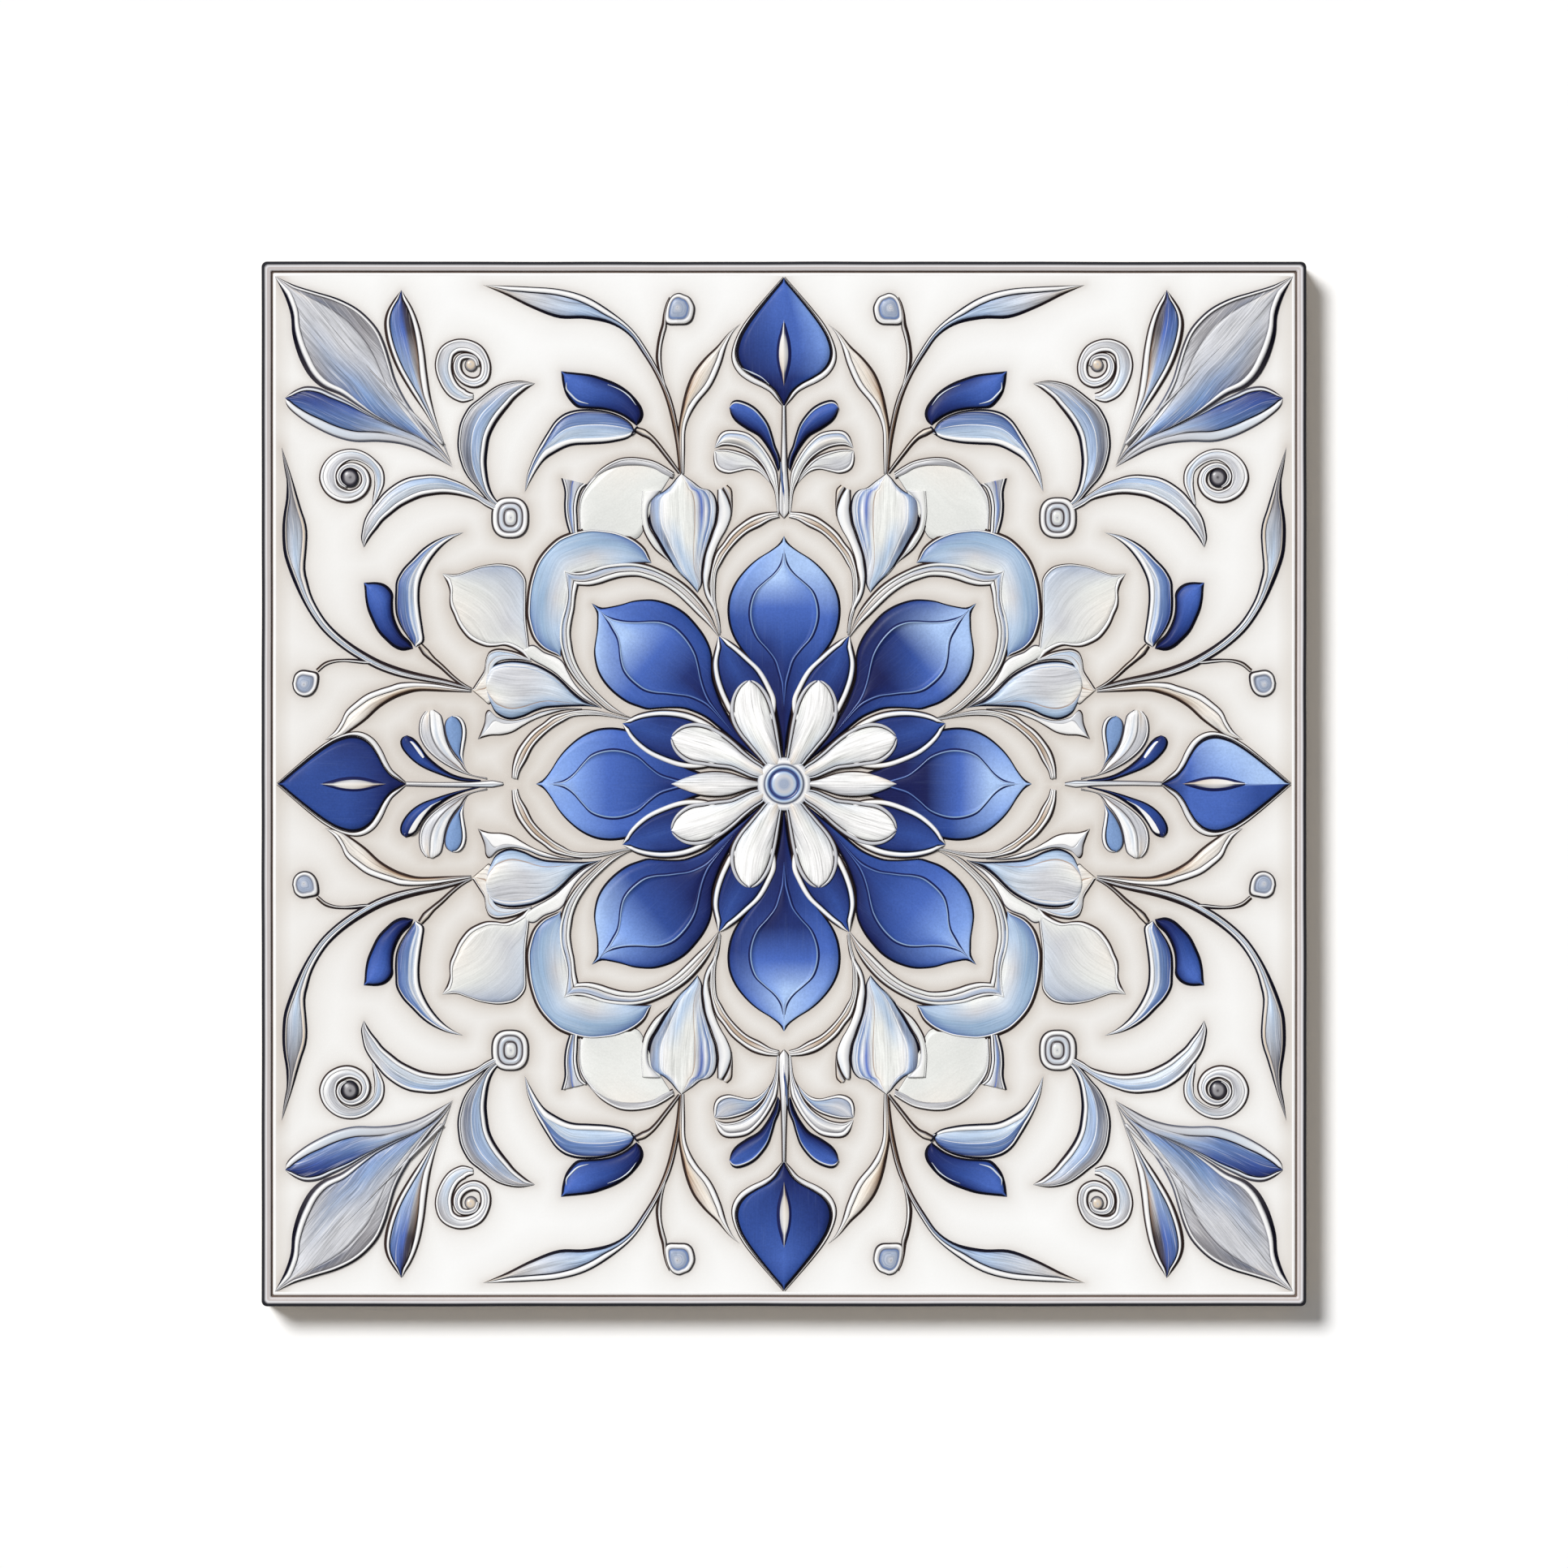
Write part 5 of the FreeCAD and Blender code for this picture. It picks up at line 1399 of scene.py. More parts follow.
innerEdges = {
    "sideDark": (
        [(-8.2, 3.8), (-9.6, 2.9), (-11.4, 2.2), (-14.5, 2.1), (-17.5, 3), (-20.05, 4.3), (-22.3, 6.5),
         (-23.2, 8.7)],
        [(-8.2, 3.8), (-8.6, 6.6), (-9.8, 8.2), (-11.6, 9.4), (-14.2, 10.4), (-17.8, 10.7), (-21.2, 10),
         (-23.2, 8.7)]),
    "sideWhite": (
        [(-2.2, 0.7), (-3.3, 0.6), (-4.75, 0.8), (-6.1, 1.35), (-7.85, 2), (-9.6, 2.2), (-11.8, 2.45),
         (-13.2, 2.65), (-14.3, 3.1), (-15.5, 4.1), (-16.2, 5.4), (-16.3, 6.7)],
        [(-2.2, 0.7), (-2.6, 2.4), (-4.3, 3.75), (-5.6, 4.85), (-7, 6.15), (-8.3, 7.2), (-9.6, 8.05),
         (-10.9, 8.7), (-12.7, 9), (-14.3, 8.7), (-15.6, 7.8), (-16.3, 6.7)]),
    "frame": (
        [(-3.8, 8.2), (-6, 8.6), (-8, 10.1), (-8.8, 11.5), (-9.6, 13.3), (-10.2, 15.3), (-10.4, 17.2),
         (-10.1, 18.9), (-9.4, 21.3)],
        [(-3.8, 8.2), (-1.6, 9), (-0.9, 11.9), (-1.7, 14.1), (-3.1, 16.5), (-4.75, 18.1), (-6.8, 19.9),
         (-8.2, 20.8), (-9.4, 21.3)]),
    "white": (
        [(-0.6, 2.3), (-2.6, 2.5), (-3.75, 3.7), (-5.25, 5.4), (-6.75, 7.2), (-7.7, 9), (-7.95, 10.6),
         (-7.7, 12.3), (-6.95, 13.8), (-5.9, 14.7), (-4.9, 14.95)],
        [(-0.6, 2.3), (-0.2, 3.4), (-0.3, 4.6), (-0.5, 6.2), (-0.75, 8), (-1.05, 9.6), (-1.4, 11.2),
         (-2, 12.7), (-2.9, 14), (-3.9, 14.75), (-4.9, 14.95)]),
    "pointed": [
        (0.5, 2.6), (0.55, 3.6), (0.8, 4.9), (1.25, 6.3), (1.7, 7.8), (1.9, 9.6), (1.8, 11.5), (1.45, 13.1),
        (0.85, 14.8), (0.08, 16.6),
    ],
}


def makeInner():
    for title, look, names in (("darkPetals", "frame", ("frame", "sideDark")),
                               ("whitePetals", "white", ("white", "sideWhite"))):
        petals = Relief(title)
        for name in names:
            blade(petals, *innerEdges[name], innerLooks[look], rows=52)
        place(petals, "fourWays")
    pointed = Relief("pointedPetal")
    edge = innerEdges["pointed"]
    blade(pointed, mirrored(edge), edge, innerLooks["pointed"], rows=40)
    place(pointed, "leftRight")


# The boss in the middle: a white collar, a silver rim, a dark ring and a pale disc.
bossLook = {
    "profile": [
        (1.0, -0.1, "inkGrey"), (0.9625, 0.7, "inkGrey"), (0.93, 0.86, "silver"), (0.8, 0.96, "pearl"),
        (0.745, 0.92, "silver"), (0.72, 0.95, "steel"), (0.685, 1.06, "steel"), (0.65, 1.15, "mist"),
        (0.6125, 1.19, "ice"), (0.57, 1.12, "azure"), (0.53, 1.0, "deep"), (0.48, 0.96, "deep"),
        (0.445, 1.0, "azure"), (0.415, 1.05, "ice"), (0.3, 1.1, "silver"), (0.15, 1.13, "dove"),
        (0.005, 1.14, "dove"),
    ],
    "size": (4.0, 4.0), "turns": 96,
}
# The snail where two crescent leaves meet, and the dark cores of the scrolls.
snailLook = {
    "profile": [
        (1.0, -0.1, "ink"), (0.985, 0.22, "ink"), (0.93, 0.3, "inkBrown"), (0.9, 0.45, "pearl"),
        (0.8, 0.55, "pearl"), (0.74, 0.44, "silver"), (0.72, 0.34, "inkBrown"), (0.68, 0.34, "inkGrey"),
        (0.64, 0.5, "silver"), (0.54, 0.58, "mist"), (0.47, 0.46, "silver"), (0.44, 0.36, "inkGrey"),
        (0.38, 0.4, "inkBrown"), (0.34, 0.56, "silver"), (0.18, 0.62, "milk"), (0.02, 0.62, "silver"),
    ],
    "turns": 64, "middle": (-39.3, 38.2), "size": (2.75, 3.0), "squareness": 2.6, "slim": 0.3,
    "lean": (0.12, 0.0),
}
coreLook = {
    "profile": [
        (1.0, 0.1, "ink"), (0.95, 0.36, "ink"), (0.8, 0.5, "ink"), (0.66, 0.56, "inkGrey"),
        (0.5, 0.62, "pewter"), (0.25, 0.66, "pewter"), (0.02, 0.66, "inkGrey"),
    ],
    "turns": 40, "middle": (-62.3, 43.9), "size": (1.3, 1.4), "lean": (0.1, 0.1),
}
topCoreLook = {
    "profile": [
        (1.0, 0.1, "inkBrown"), (0.92, 0.36, "inkGrey"), (0.75, 0.5, "pewter"), (0.5, 0.6, "sand"),
        (0.25, 0.64, "sand"), (0.02, 0.64, "silver"),
    ],
    "turns": 36, "middle": (-44.9, 60.1), "size": (0.95, 1.0), "lean": (-0.1, 0.15),
}


def makeBoss():
    boss = Relief("boss")
    turnedRings(boss, bossLook)
    place(boss, "once")


# The crescent leaves, the scrolls that spring from them and the snail ring where they meet.
crescentLook = {
    "ink": ([0.16, 0.3, 0.3, 0.14], [0.14, 0.18, 0.18, 0.12]),
    "ridge": ([0.3, 0.45, 0.5, 0.3], [0.1, 0.16, 0.16, 0.1]),
    "line": ([0.06, 0.1, 0.1, 0.06], [0.05, 0.08, 0.08, 0.05]), "rise": (0.6, 0.4, 0.66), "fullWidth": 2.2,
    "columns": 12, "lineColour": "inkGrey", "strokes": 1.5, "creases": [(0.48, 0.03, 0.12, "pearl")],
    "inkColour": "ink ink inkBrown",
    "fill": [
        (0, "mist ice ice silver"), (0.2, "ice haze haze silver"), (0.42, "ice haze haze silver"),
        (0.54, "pewter steel haze sand"), (0.84, "pewter steel pewter silver"), (1, "silver"),
    ],
}
crescentOuter = [
    (-41, 39.6), (-42.5, 40.6), (-43.4, 41.6), (-44.3, 42.7), (-45.2, 43.7), (-46, 45), (-46.6, 46.7),
    (-46.9, 48.5), (-46.8, 50.2), (-46.5, 51.8), (-45.8, 53.3), (-45.1, 54.3), (-43.85, 55.3),
    (-42.6, 56.3), (-41.2, 57.2), (-39.7, 57.7), (-37.85, 57.9), (-35.7, 57.5),
]
crescentInner = [
    (-40.6, 40), (-41.4, 41), (-41.9, 41.9), (-42.3, 43.1), (-42.55, 44.7), (-42.65, 46.2), (-42.5, 48),
    (-42.2, 49.7), (-41.5, 51.3), (-40.5, 52.8), (-39.4, 54.2), (-38.6, 55.2), (-37.1, 56.5), (-35.7, 57.5),
]
sideCrescentTop = [
    (-41.3, 40.1), (-42.8, 41), (-44.3, 42), (-46, 43.1), (-47.7, 43.8), (-49.3, 44.3), (-50.7, 44.45),
    (-52, 44.35), (-53.7, 44.1), (-55, 43.6), (-56.3, 42.8), (-57.5, 41.8), (-58.5, 40.6), (-59.5, 39.3),
    (-60.2, 38), (-60.6, 36.3), (-60.7, 35.2), (-60.3, 33.9),
]
sideCrescentLow = [
    (-41, 38.9), (-42.8, 39.8), (-44, 40.6), (-46, 41.2), (-47.7, 41.5), (-49, 41.55), (-50.5, 41.4),
    (-52, 41.1), (-53.7, 40.4), (-55, 39.7), (-56.3, 38.7), (-57.5, 37.7), (-58.3, 36.7), (-59.2, 35.6),
    (-60.3, 33.9),
]
sideCrescentLook = {
    "ink": ([0.12, 0.18, 0.18, 0.12], [0.14, 0.24, 0.26, 0.22, 0.12]),
    "ridge": ([0.1, 0.25, 0.35, 0.3, 0.1], [0.2, 0.45, 0.5, 0.4, 0.15]),
    "line": (0, [0.05, 0.08, 0.08, 0.05]), "rise": (0.6, 0.4, 0.66), "fullWidth": 2.2, "columns": 12,
    "lineColour": "pewter", "strokes": 1.3, "creases": [(0.52, 0.03, 0.12, "pearl")],
    "inkColour": "inkBrown ink",
    "fill": [
        (0, "silver haze haze silver pewter"), (0.46, "silver haze ice silver pewter"),
        (0.58, "silver ice mist mist silver"), (1, "mist mist mist mist silver"),
    ],
}
scrollLook = {
    "ink": (0.14, 0.16), "ridge": (0.25, 0.4), "line": (0, 0.06), "rise": (0.34, 0.24, 0.36),
    "fullWidth": 1.4, "columns": 9, "inkColour": "inkBrown", "lineColour": "pewter", "strokes": 1.3,
    "fill": [
        "silver silver pewter silver pewter silver steel inkGrey",
        "mist ice silver silver silver mist silver pewter", "pearl mist mist pearl pearl pearl mist silver",
    ],
}
scrollPath = [
    (-44.6, 55.6), (-46, 55.7), (-47.4, 56.5), (-48.5, 58.3), (-48.85, 60.2), (-48.4, 61.9), (-47.1, 62.8),
    (-45.5, 62.85), (-44, 62.2), (-43.05, 60.9), (-42.8, 59.5), (-43.2, 58.2), (-44.4, 57.6), (-45.8, 58),
    (-46.7, 59), (-46.9, 60.2), (-46.4, 61.2), (-45.3, 61.4), (-44.3, 61), (-43.9, 60),
]
scrollWidths = [
    1.0, 2.1, 2.3, 2.4, 2.6, 2.4, 2.1, 2.0, 1.9, 1.6, 1.6, 1.6, 1.6, 1.5, 1.4, 1.3, 1.1, 0.9, 0.8, 0.6,
]
sideScrollPath = [
    (-59, 40), (-58.5, 41.5), (-58.05, 43.2), (-58.2, 44.9), (-59.2, 46.1), (-60.6, 47), (-62.2, 47.3),
    (-63.9, 46.7), (-65.1, 45.4), (-65.45, 43.9), (-64.9, 42.4), (-63.6, 41.5), (-62.2, 41.3), (-60.7, 42),
    (-60, 43.3), (-60.3, 44.7), (-61.3, 45.5), (-62.4, 45.7), (-63.4, 45.2), (-63.9, 44.2), (-63.6, 43.2),
    (-62.8, 42.6),
]
sideScrollWidths = [
    0.3, 1.0, 1.5, 1.5, 1.5, 1.6, 1.7, 2.1, 2.4, 2.6, 2.3, 2.1, 1.9, 1.7, 1.5, 1.3, 1.1, 0.9, 0.8, 0.8, 0.7,
    0.4,
]
scrollLift = [0, 0, 0.02, 0.06, 0.1, 0.16, 0.22, 0.26, 0.3]


def makeScrolls():
    for title, inner, outer, look in (("crescentLeaf", crescentInner, crescentOuter, crescentLook),
                                      ("sideCrescent", sideCrescentTop, sideCrescentLow, sideCrescentLook)):
        leaf = Relief(title)
        blade(leaf, inner, outer, look, rows=64)
        place(leaf, "fourWays")
    for title, path, widths, core in (("scroll", scrollPath, scrollWidths, topCoreLook),
                                      ("sideScroll", sideScrollPath, sideScrollWidths, coreLook)):
        scroll = Relief(title)
        strip(scroll, path, widths, scrollLook, rows=120, base=scrollLift)
        turnedRings(scroll, core)
        place(scroll, "fourWays")
    snail = Relief("snailRing")
    turnedRings(snail, snailLook)
    place(snail, "fourWays")


# The leaf in each corner with its vein, and the leaflet on either side of it.
cornerLooks = {
    "main": {
        # The wide dark ink along the lower left edge, widest beyond the middle, is the outline widened into
        # a painted shadow.
        "ink": ([0.04, 0.04, 0.06, 0.3, 0.6, 0.5, 0.2], [0.1, 0.14, 0.2, 0.2, 0.12]),
        "ridge": ([0, 0, 0.1, 0.6, 0.75, 0.7, 0.5], [0.2, 0.3, 0.3, 0.3, 0.2]),
        "inkColour": "inkBrown steel inkGrey ink ink",
        "line": ([0, 0, 0, 0.06, 0.06], [0.05, 0.1, 0.14, 0.14, 0.1]), "rise": (0.85, 0.4, 0.7),
        "fullWidth": 4.0, "columns": 18, "strokes": 1.6, "ridgeColour": "silver silver pearl pearl pearl",
        "lineColour": "pewter", "ridgeShade": "pewter silver silver silver silver",
        "creases": [(0.82, 0.014, 0.2, "inkGrey")],
        "fill": [
            (0, "pewter steel azure pewter silver silver"), (0.25, "pewter azure denim dove silver silver"),
            (0.5, "silver denim dove silver silver silver"),
            (0.78, "silver haze silver silver silver sand"),
            (0.86, "silver pearl silver pewter steel silver"),
            (1, "pearl silver silver pewter pewter pewter"),
        ],
    },
    "low": {
        "ink": ([0.12, 0.14, 0.16, 0.14], [0.03, 0.03, 0.05, 0.2, 0.24]),
        "ridge": ([0.4, 0.8, 1.2, 1.1, 0.5], [0, 0, 0.05, 0.3, 0.3]),
        "line": ([0.1, 0.14, 0.22, 0.26], [0, 0, 0.1, 0.2, 0.16]), "rise": (0.45, 0.5, 0.7),
        "fullWidth": 2.4, "columns": 10, "strokes": 1.3, "ridgeColour": "silver silver mist pearl",
        "ridgeShade": "pewter pewter silver silver", "inkColour": "inkBrown steel inkBrown",
        "fill": [
            "silver silver silver azure azure cobalt", "silver silver haze azure cobalt deep",
            "pewter silver dove cobalt deep night",
        ],
    },
    "high": {
        "ink": ([0.12, 0.18, 0.24, 0.3, 0.2], 0.12),
        "ridge": ([0.2, 0.4, 0.5, 0.4, 0.2], [0.3, 0.6, 0.8, 0.6, 0.3]),
        "line": (0.16, [0.05, 0.06, 0.1, 0.2]), "rise": (0.6, 0.4, 0.6), "fullWidth": 2.6, "columns": 10,
        "strokes": 1.3, "inkColour": "inkBrown", "ridgeColour": "silver pearl pearl pearl",
        "ridgeShade": "pewter pewter pewter inkGrey",
        "fill": [
            (0, "pearl ice haze azure cobalt"), (0.55, "silver silver haze royal deep"),
            (0.72, "silver silver silver inkGrey deep"), (1, "pewter silver umber inkBrown inkBrown"),
        ],
    },
}
cornerEdges = {
    "main": (
        [(-47.5, 45.6), (-49.6, 47.9), (-52.3, 49.6), (-55.7, 51.2), (-59, 52.9), (-61.3, 54.3),
         (-63.7, 55.8), (-66.4, 56.9), (-68, 58.3), (-69.2, 60.2), (-70, 62.2), (-70.6, 64.6),
         (-70.8, 67.2), (-71.6, 69.8), (-73.1, 72.9)],
        [(-47.5, 45.6), (-48.9, 47.8), (-50.7, 50), (-52.3, 52.2), (-54.3, 55.2), (-55.7, 58),
         (-56.5, 60.7), (-57.2, 63), (-58.2, 65.2), (-59.7, 67), (-61.4, 68.4), (-64, 69.7), (-67.3, 70.7),
         (-70.2, 71.6), (-73.1, 72.9)]),
    "low": (
        [(-47.5, 45.4), (-50, 46.75), (-52.5, 48), (-55.3, 48.8), (-58.3, 49.1), (-61.7, 49.1),
         (-64.2, 49.7), (-66.7, 50.8), (-69.2, 52.3), (-71.3, 54.2), (-71.6, 55.4)],
        [(-47.5, 45.4), (-50, 48.1), (-52.3, 49.7), (-55.7, 51.2), (-58, 52.3), (-60.2, 53.5),
         (-62.3, 54.8), (-64.7, 56), (-66.7, 56.9), (-68.7, 57.1), (-70.4, 56.4), (-71.6, 55.4)]),
    "high": (
        [(-47.7, 45.9), (-49.3, 49.3), (-51.4, 53), (-53.6, 56.2), (-55.6, 59.6), (-56.7, 62.3),
         (-57.3, 64.6), (-57.4, 66.4), (-57, 67.9), (-56.1, 69.4), (-54.9, 70.9)],
        [(-47.7, 45.9), (-48.7, 48.8), (-49.8, 52), (-50.7, 55.7), (-51.2, 59), (-51.6, 62.3),
         (-52.3, 65.7), (-53.3, 68.3), (-54.9, 70.9)]),
}
veinLook = {
    "ink": (0.05, 0.05), "rise": (0.1, 0.08, 0.14), "fullWidth": 0.2, "columns": 3, "inkColour": "pewter",
    "fill": ["silver mist silver", "pearl pearl silver"], "finish": "pearl", "strokes": 0.5,
}
veinPath = (
    [(-49, 48.8), (-53, 52.9), (-57.5, 57.4), (-61.5, 61.6), (-64.5, 64.4)],
    [0.5, 0.4, 0.3, 0.2, 0.05])


def makeCorners():
    leaves = Relief("cornerLeaves")
    for name in ("low", "high", "main"):
        blade(leaves, *cornerEdges[name], cornerLooks[name], rows=60)
    strip(leaves, *veinPath, veinLook, rows=40, base=0.66)
    place(leaves, "fourWays")


# The tile's own body: a rim whose rounded arris is painted dark grey as shade, a brown groove and the
# biscuit sides.
bodyLook = {
    # Inset from the side, height, colour up to the next and glaze.
    "profile": [
        (0.5, 0.0, "biscuit", "biscuit"), (0.0, 0.5, "biscuit", "biscuit"), (0.0, 6.6, "biscuit", "biscuit"),
        # The dark grey over the rounded arris is painted shade.
        (0.0, 7.2, "rimLilac", "ground"), (0.0, 7.95, "arrisShadeGrey", "ink"), (0.12, 8.16, "arrisShadeGrey", "ink"),
        (0.34, 8.34, "arrisShadeGrey", "ink"), (0.42, 8.35, "rimGrey", "pearl"), (0.56, 8.35, "rimLight", "pearl"),
        (0.8, 8.34, "rimLilac", "pearl"), (1.12, 8.34, "rimLight", "pearl"),
        (1.24, 8.3, "rimLilac", "pearl"), (1.36, 8.1, "grooveBrown", "ink"),
        (1.44, 7.76, "grooveBrown", "ink"), (1.58, 7.74, "grooveBrown", "ink"),
        (1.66, 7.95, "pearl", "pearl"), (1.9, 8.03, "pearl", "pearl"), (2.1, 8.0, "fieldWhite", "ground")],
    "cornerRadius": 0.8, "cornerTaper": 0.5, "leastRadius": 0.25, "sidePoints": 90, "cornerPoints": 7,
    # Unevenness that a pressed edge has: how far it wanders, and its waves round the tile as number,
    # start and share.
    "wander": 0.035, "insideShare": 0.5, "inside": 1.2, "waveTop": 2.2,
    "waves": [(7, 1.3, 1), (17, 4.1, 0.6), (31, 2.2, 0.5)], "strokes": 0.3,
}


def squareLoop(inset):
    look = bodyLook
    half = tile["half"] - inset
    radius = max(look["cornerRadius"] - inset * look["cornerTaper"], look["leastRadius"])
    straight = np.linspace(-half + radius, half - radius, look["sidePoints"])
    side = np.stack([straight, np.full_like(straight, half)], axis=-1)[::-1]
    angles = np.linspace(0, math.pi / 2, look["cornerPoints"] + 2)[1:-1]
    centre = np.array([radius - half, half - radius])
    bend = centre + radius * np.stack([-np.sin(angles), np.cos(angles)], axis=-1)
    return np.vstack([turned(np.vstack([side, bend]), quarter) for quarter in range(4)])


def wobble(points, amount):
    # The same waves for every loop, so that the loops stay apart.
    angle = np.arctan2(points[:, 1], points[:, 0])
    wave = sum(share * np.sin(angle * number + start) for number, start, share in bodyLook["waves"])
    return points * (1 - amount * (wave + bodyLook["waveTop"])[:, None] / tile["half"] / 2)


def makeBody():
    look = bodyLook
    verts = []
    for inset, z, colour, kind in look["profile"]:
        inside = inset >= look["inside"] or z <= 1
        loop = wobble(squareLoop(inset), look["wander"] * (look["insideShare"] if inside else 1))
        verts.append(np.column_stack([loop, np.full(len(loop), z)]))
    rings, count = len(verts), len(verts[0])
    index = np.arange(rings * count).reshape(rings, count)
    run, ring = np.meshgrid(np.linspace(0, 8 * tile["half"], count + 1), np.arange(rings))
    names = ["biscuit", "ground", "ink", "pearl"]
    paint = [(*toLinear(colour), look["strokes"]) for inset, z, colour, kind in look["profile"][:-1]]
    kinds = [names.index(kind) for inset, z, colour, kind in look["profile"][:-1]]
    shell = buildMesh(
        "tileBody", np.vstack(verts), corners(np.column_stack([index, index[:, 0]])).reshape(-1, 4),
        np.repeat(paint, count * 4, axis=0), corners(np.stack([run, ring], axis=-1)).reshape(-1, 2),
        np.repeat(kinds, count), names)
    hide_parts("tile")


# The glazed field: white in the open, warmer towards the middle and along the sides, and with painted
# shade beside the relief that is darkest right against it. Lengths are in millimetres, each warmth a share
# of the warm colour.
fieldLook = {
    "inset": 2.05, "step": 0.47, "outlineStep": 0.25,
    # This line sets the painted shade beside the relief.
    "paintedShadeReach": 2.7, "paintedShadeLeast": 0.46, "paintedShadeInward": 0.5, "inwardFrom": 70, "inwardOver": 16,
    "middleWarmth": 0.24, "middleReach": 72, "rimWarmth": 0.45, "rimFrom": 70.5, "rimOver": 2,
    # The dark share and its reach give a painted contact shadow right against the relief.
    "leftWarmth": 0.26, "rightWarmth": 0.12, "sideOver": 50, "dark": 0.26, "contactShadeReach": 0.55,
    "swell": (0.012, 0.21, 0.17), "ripple": (0.01, 0.53, 0.31), "flatEdge": 3,
}


def reliefDistance(x, y):
    # How far each point of the field lies from the nearest outline of the relief.
    outlines = []
    for line in groundSources:
        outlines.append(pointsAt(line, np.arange(0, lengthRun(line)[-1], fieldLook["outlineStep"])))
    points = np.vstack(outlines)
    tree = kdtree.KDTree(len(points))
    for i, point in enumerate(points):
        tree.insert((*point, 0), i)
    tree.balance()
    return np.array([tree.find((a, b, 0))[2] for a, b in zip(x.reshape(-1), y.reshape(-1))]).reshape(x.shape)


def fieldPaintWithShade(x, y):
    look = fieldLook
    distance, reach = reliefDistance(x, y), np.hypot(x, y)
    inward = np.clip((look["inwardFrom"] - reach) / look["inwardOver"], 0, 1)
    # Painted shade: warmer near the relief, more so towards the middle of the tile.
    warmAndShade = (look["paintedShadeLeast"] + look["paintedShadeInward"] * inward) * np.exp(-distance / look["paintedShadeReach"])
    warmAndShade += look["middleWarmth"] * np.clip(1 - reach / look["middleReach"], 0, 1)
    warmAndShade += look["rimWarmth"] * np.clip((np.abs(x) - look["rimFrom"]) / look["rimOver"], 0, 1)
    side = np.where(x < 0, look["leftWarmth"], look["rightWarmth"])
    warmAndShade += side * np.clip((np.abs(x) - np.abs(y)) / look["sideOver"], 0, 1)
    # Painted contact shadow, darkest right against the relief.
    dark = look["dark"] * np.exp(-(distance / look["contactShadeReach"]) ** 2)
    white, tinted, deep = toLinear("fieldWhite"), toLinear("fieldWarmAndShade"), toLinear("fieldContactShade")
    paint = white + np.clip(warmAndShade, 0, 1)[..., None] * (tinted - white)
    return paint + dark[..., None] * (deep - paint)


def makeField():
    look = fieldLook
    half = tile["half"] - look["inset"]
    line = np.linspace(-half, half, int(2 * half / look["step"]) + 1)
    x, y = np.meshgrid(line, line, indexing="ij")
    (swell, swellX, swellY), (ripple, rippleX, rippleY) = look["swell"], look["ripple"]
    z = swell * np.sin(x * swellX + 1) * np.sin(y * swellY + 2) + ripple * np.sin(x * rippleX + y * rippleY)
    z *= np.clip(np.minimum(half - np.abs(x), half - np.abs(y)) / look["flatEdge"], 0, 1)
    verts = np.stack([x, y, z + tile["field"]], axis=-1).reshape(-1, 3)
    quads = corners(np.arange(x.size).reshape(x.shape))[..., [0, 3, 2, 1]]
    around = quads.reshape(-1)
    colours = np.column_stack([fieldPaintWithShade(x, y).reshape(-1, 3)[around], np.zeros(len(around))])
    kinds = np.zeros(len(around) // 4, int)
    buildMesh("field", verts, quads.reshape(-1, 4), colours, verts[around, :2], kinds, ["ground"])


# The biscuit back: keying grooves run across the tile and end before its sides.
backLook = {
    "inset": 0.5, "keyWidth": 7.0, "keyDepth": 0.9, "keyPitch": 16.0, "keyLand": 9.0, "keyDraft": 0.33,
    "keyPairs": 4, "columns": 60,
}


def makeBack():
    # A level grid whose lines follow the grooves, pushed up inside them.
    look = backLook
    half, reach, draft = tile["half"] - look["inset"], tile["half"] - look["keyLand"], look["keyDraft"]
    xs = [-half, -reach, *np.linspace(draft - reach, reach - draft, look["columns"]), reach, half]
    insideX = [0, 0] + [1] * look["columns"] + [0, 0]
    ys, insideY = [-half], [0]
    for k in range(-look["keyPairs"], look["keyPairs"]):
        middle = (k + 0.5) * look["keyPitch"]
        low, high = middle - look["keyWidth"] / 2, middle + look["keyWidth"] / 2
        ys += [low, low + draft, middle, high - draft, high]
        insideY += [0, 1, 1, 1, 0]
    ys.append(half)
    insideY.append(0)
    x, y = np.meshgrid(xs, ys, indexing="ij")
    verts = np.stack([x, y, look["keyDepth"] * np.minimum.outer(insideX, insideY)], axis=-1).reshape(-1, 3)
    faces = corners(np.arange(x.size).reshape(x.shape)).reshape(-1, 4)
    count = len(faces)
    colours = np.repeat([(*toLinear("biscuit"), 0.0)], count * 4, axis=0)
    buildMesh("keyedBack", verts, faces, colours, np.repeat(verts[faces[:, 0], :2], 4, axis=0),
              np.zeros(count, int), ["biscuit"])


# The field comes after the relief, because its painted shade beside the relief follows the relief's
# outlines.
for build in (makeCorners, makeScrolls, makeFan, makeBells, makeSprig, makeSpade, makeBehind, makeHeart,
              makeCup, makeArch, makePetals, makeInner, makeBoss, makeBody, makeField, makeBack):
    build()
print("tile built")

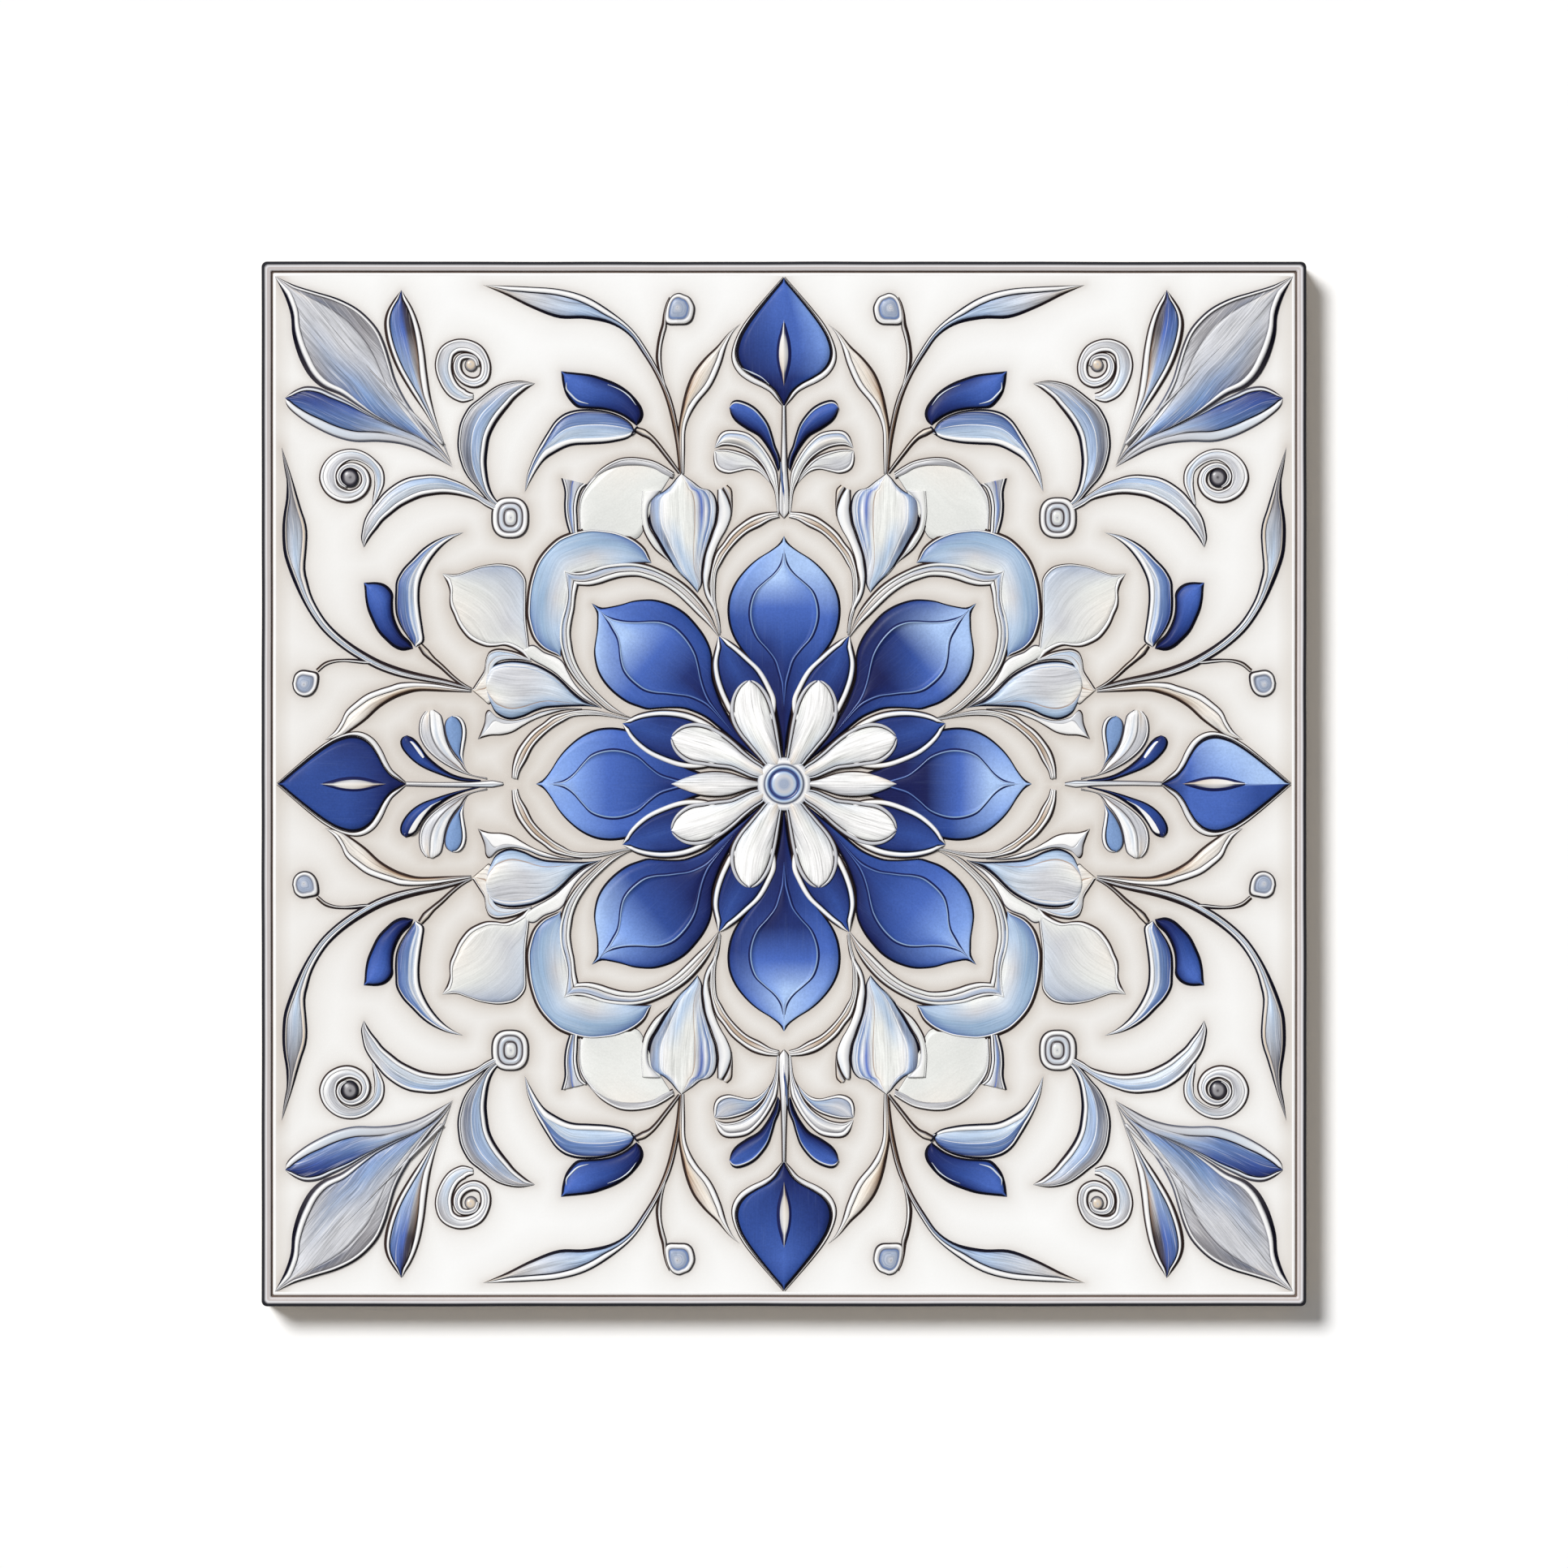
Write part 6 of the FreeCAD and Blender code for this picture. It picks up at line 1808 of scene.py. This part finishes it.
# A white floor, soft light from the upper left and a camera straight above.
stageLook = {
    "floorHalf": 3.0, "floorColour": (1.0, 1.0, 1.0), "sunStrength": 2.95, "sunAngle": 17.0, "sunLean": 32.0,
    "sunFrom": 135.0, "worldLight": 0.22, "lens": 250.0, "sensor": 36.0, "frameWidth": 0.225,
}


def makeFloor():
    half = stageLook["floorHalf"]
    mesh = bpy.data.meshes.new("floor")
    square = [(-half, -half, 0), (half, -half, 0), (half, half, 0), (-half, half, 0)]
    mesh.from_pydata(square, [], [(0, 1, 2, 3)])
    floor = bpy.data.objects.new("floor", mesh)
    bpy.context.scene.collection.objects.link(floor)
    material = bpy.data.materials.new("floorWhite")
    material.use_nodes = True
    shader = material.node_tree.nodes["Principled BSDF"]
    shader.inputs["Base Color"].default_value = (*stageLook["floorColour"], 1)
    shader.inputs["Roughness"].default_value = 1.0
    shader.inputs["Specular IOR Level"].default_value = 0.0
    mesh.materials.append(material)


def makeLight():
    sunData = bpy.data.lights.new("sun", "SUN")
    sunData.energy = stageLook["sunStrength"]
    sunData.angle = math.radians(stageLook["sunAngle"])
    sun = bpy.data.objects.new("sun", sunData)
    sun.rotation_euler = (0, math.radians(stageLook["sunLean"]), math.radians(stageLook["sunFrom"]))
    bpy.context.scene.collection.objects.link(sun)
    world = bpy.data.worlds.new("room")
    world.use_nodes = True
    background = world.node_tree.nodes["Background"]
    background.inputs["Color"].default_value = (1, 1, 1, 1)
    background.inputs["Strength"].default_value = stageLook["worldLight"]
    bpy.context.scene.world = world


def makeCamera():
    cameraData = bpy.data.cameras.new("camera")
    cameraData.lens = stageLook["lens"]
    cameraData.sensor_width = stageLook["sensor"]
    camera = bpy.data.objects.new("camera", cameraData)
    height = stageLook["frameWidth"] * stageLook["lens"] / stageLook["sensor"]
    camera.location = (0, 0, tile["field"] * mm + height)
    bpy.context.scene.collection.objects.link(camera)
    bpy.context.scene.camera = camera


makeFloor()
makeLight()
makeCamera()
bpy.context.scene.view_settings.view_transform = "Standard"
print("stage set")
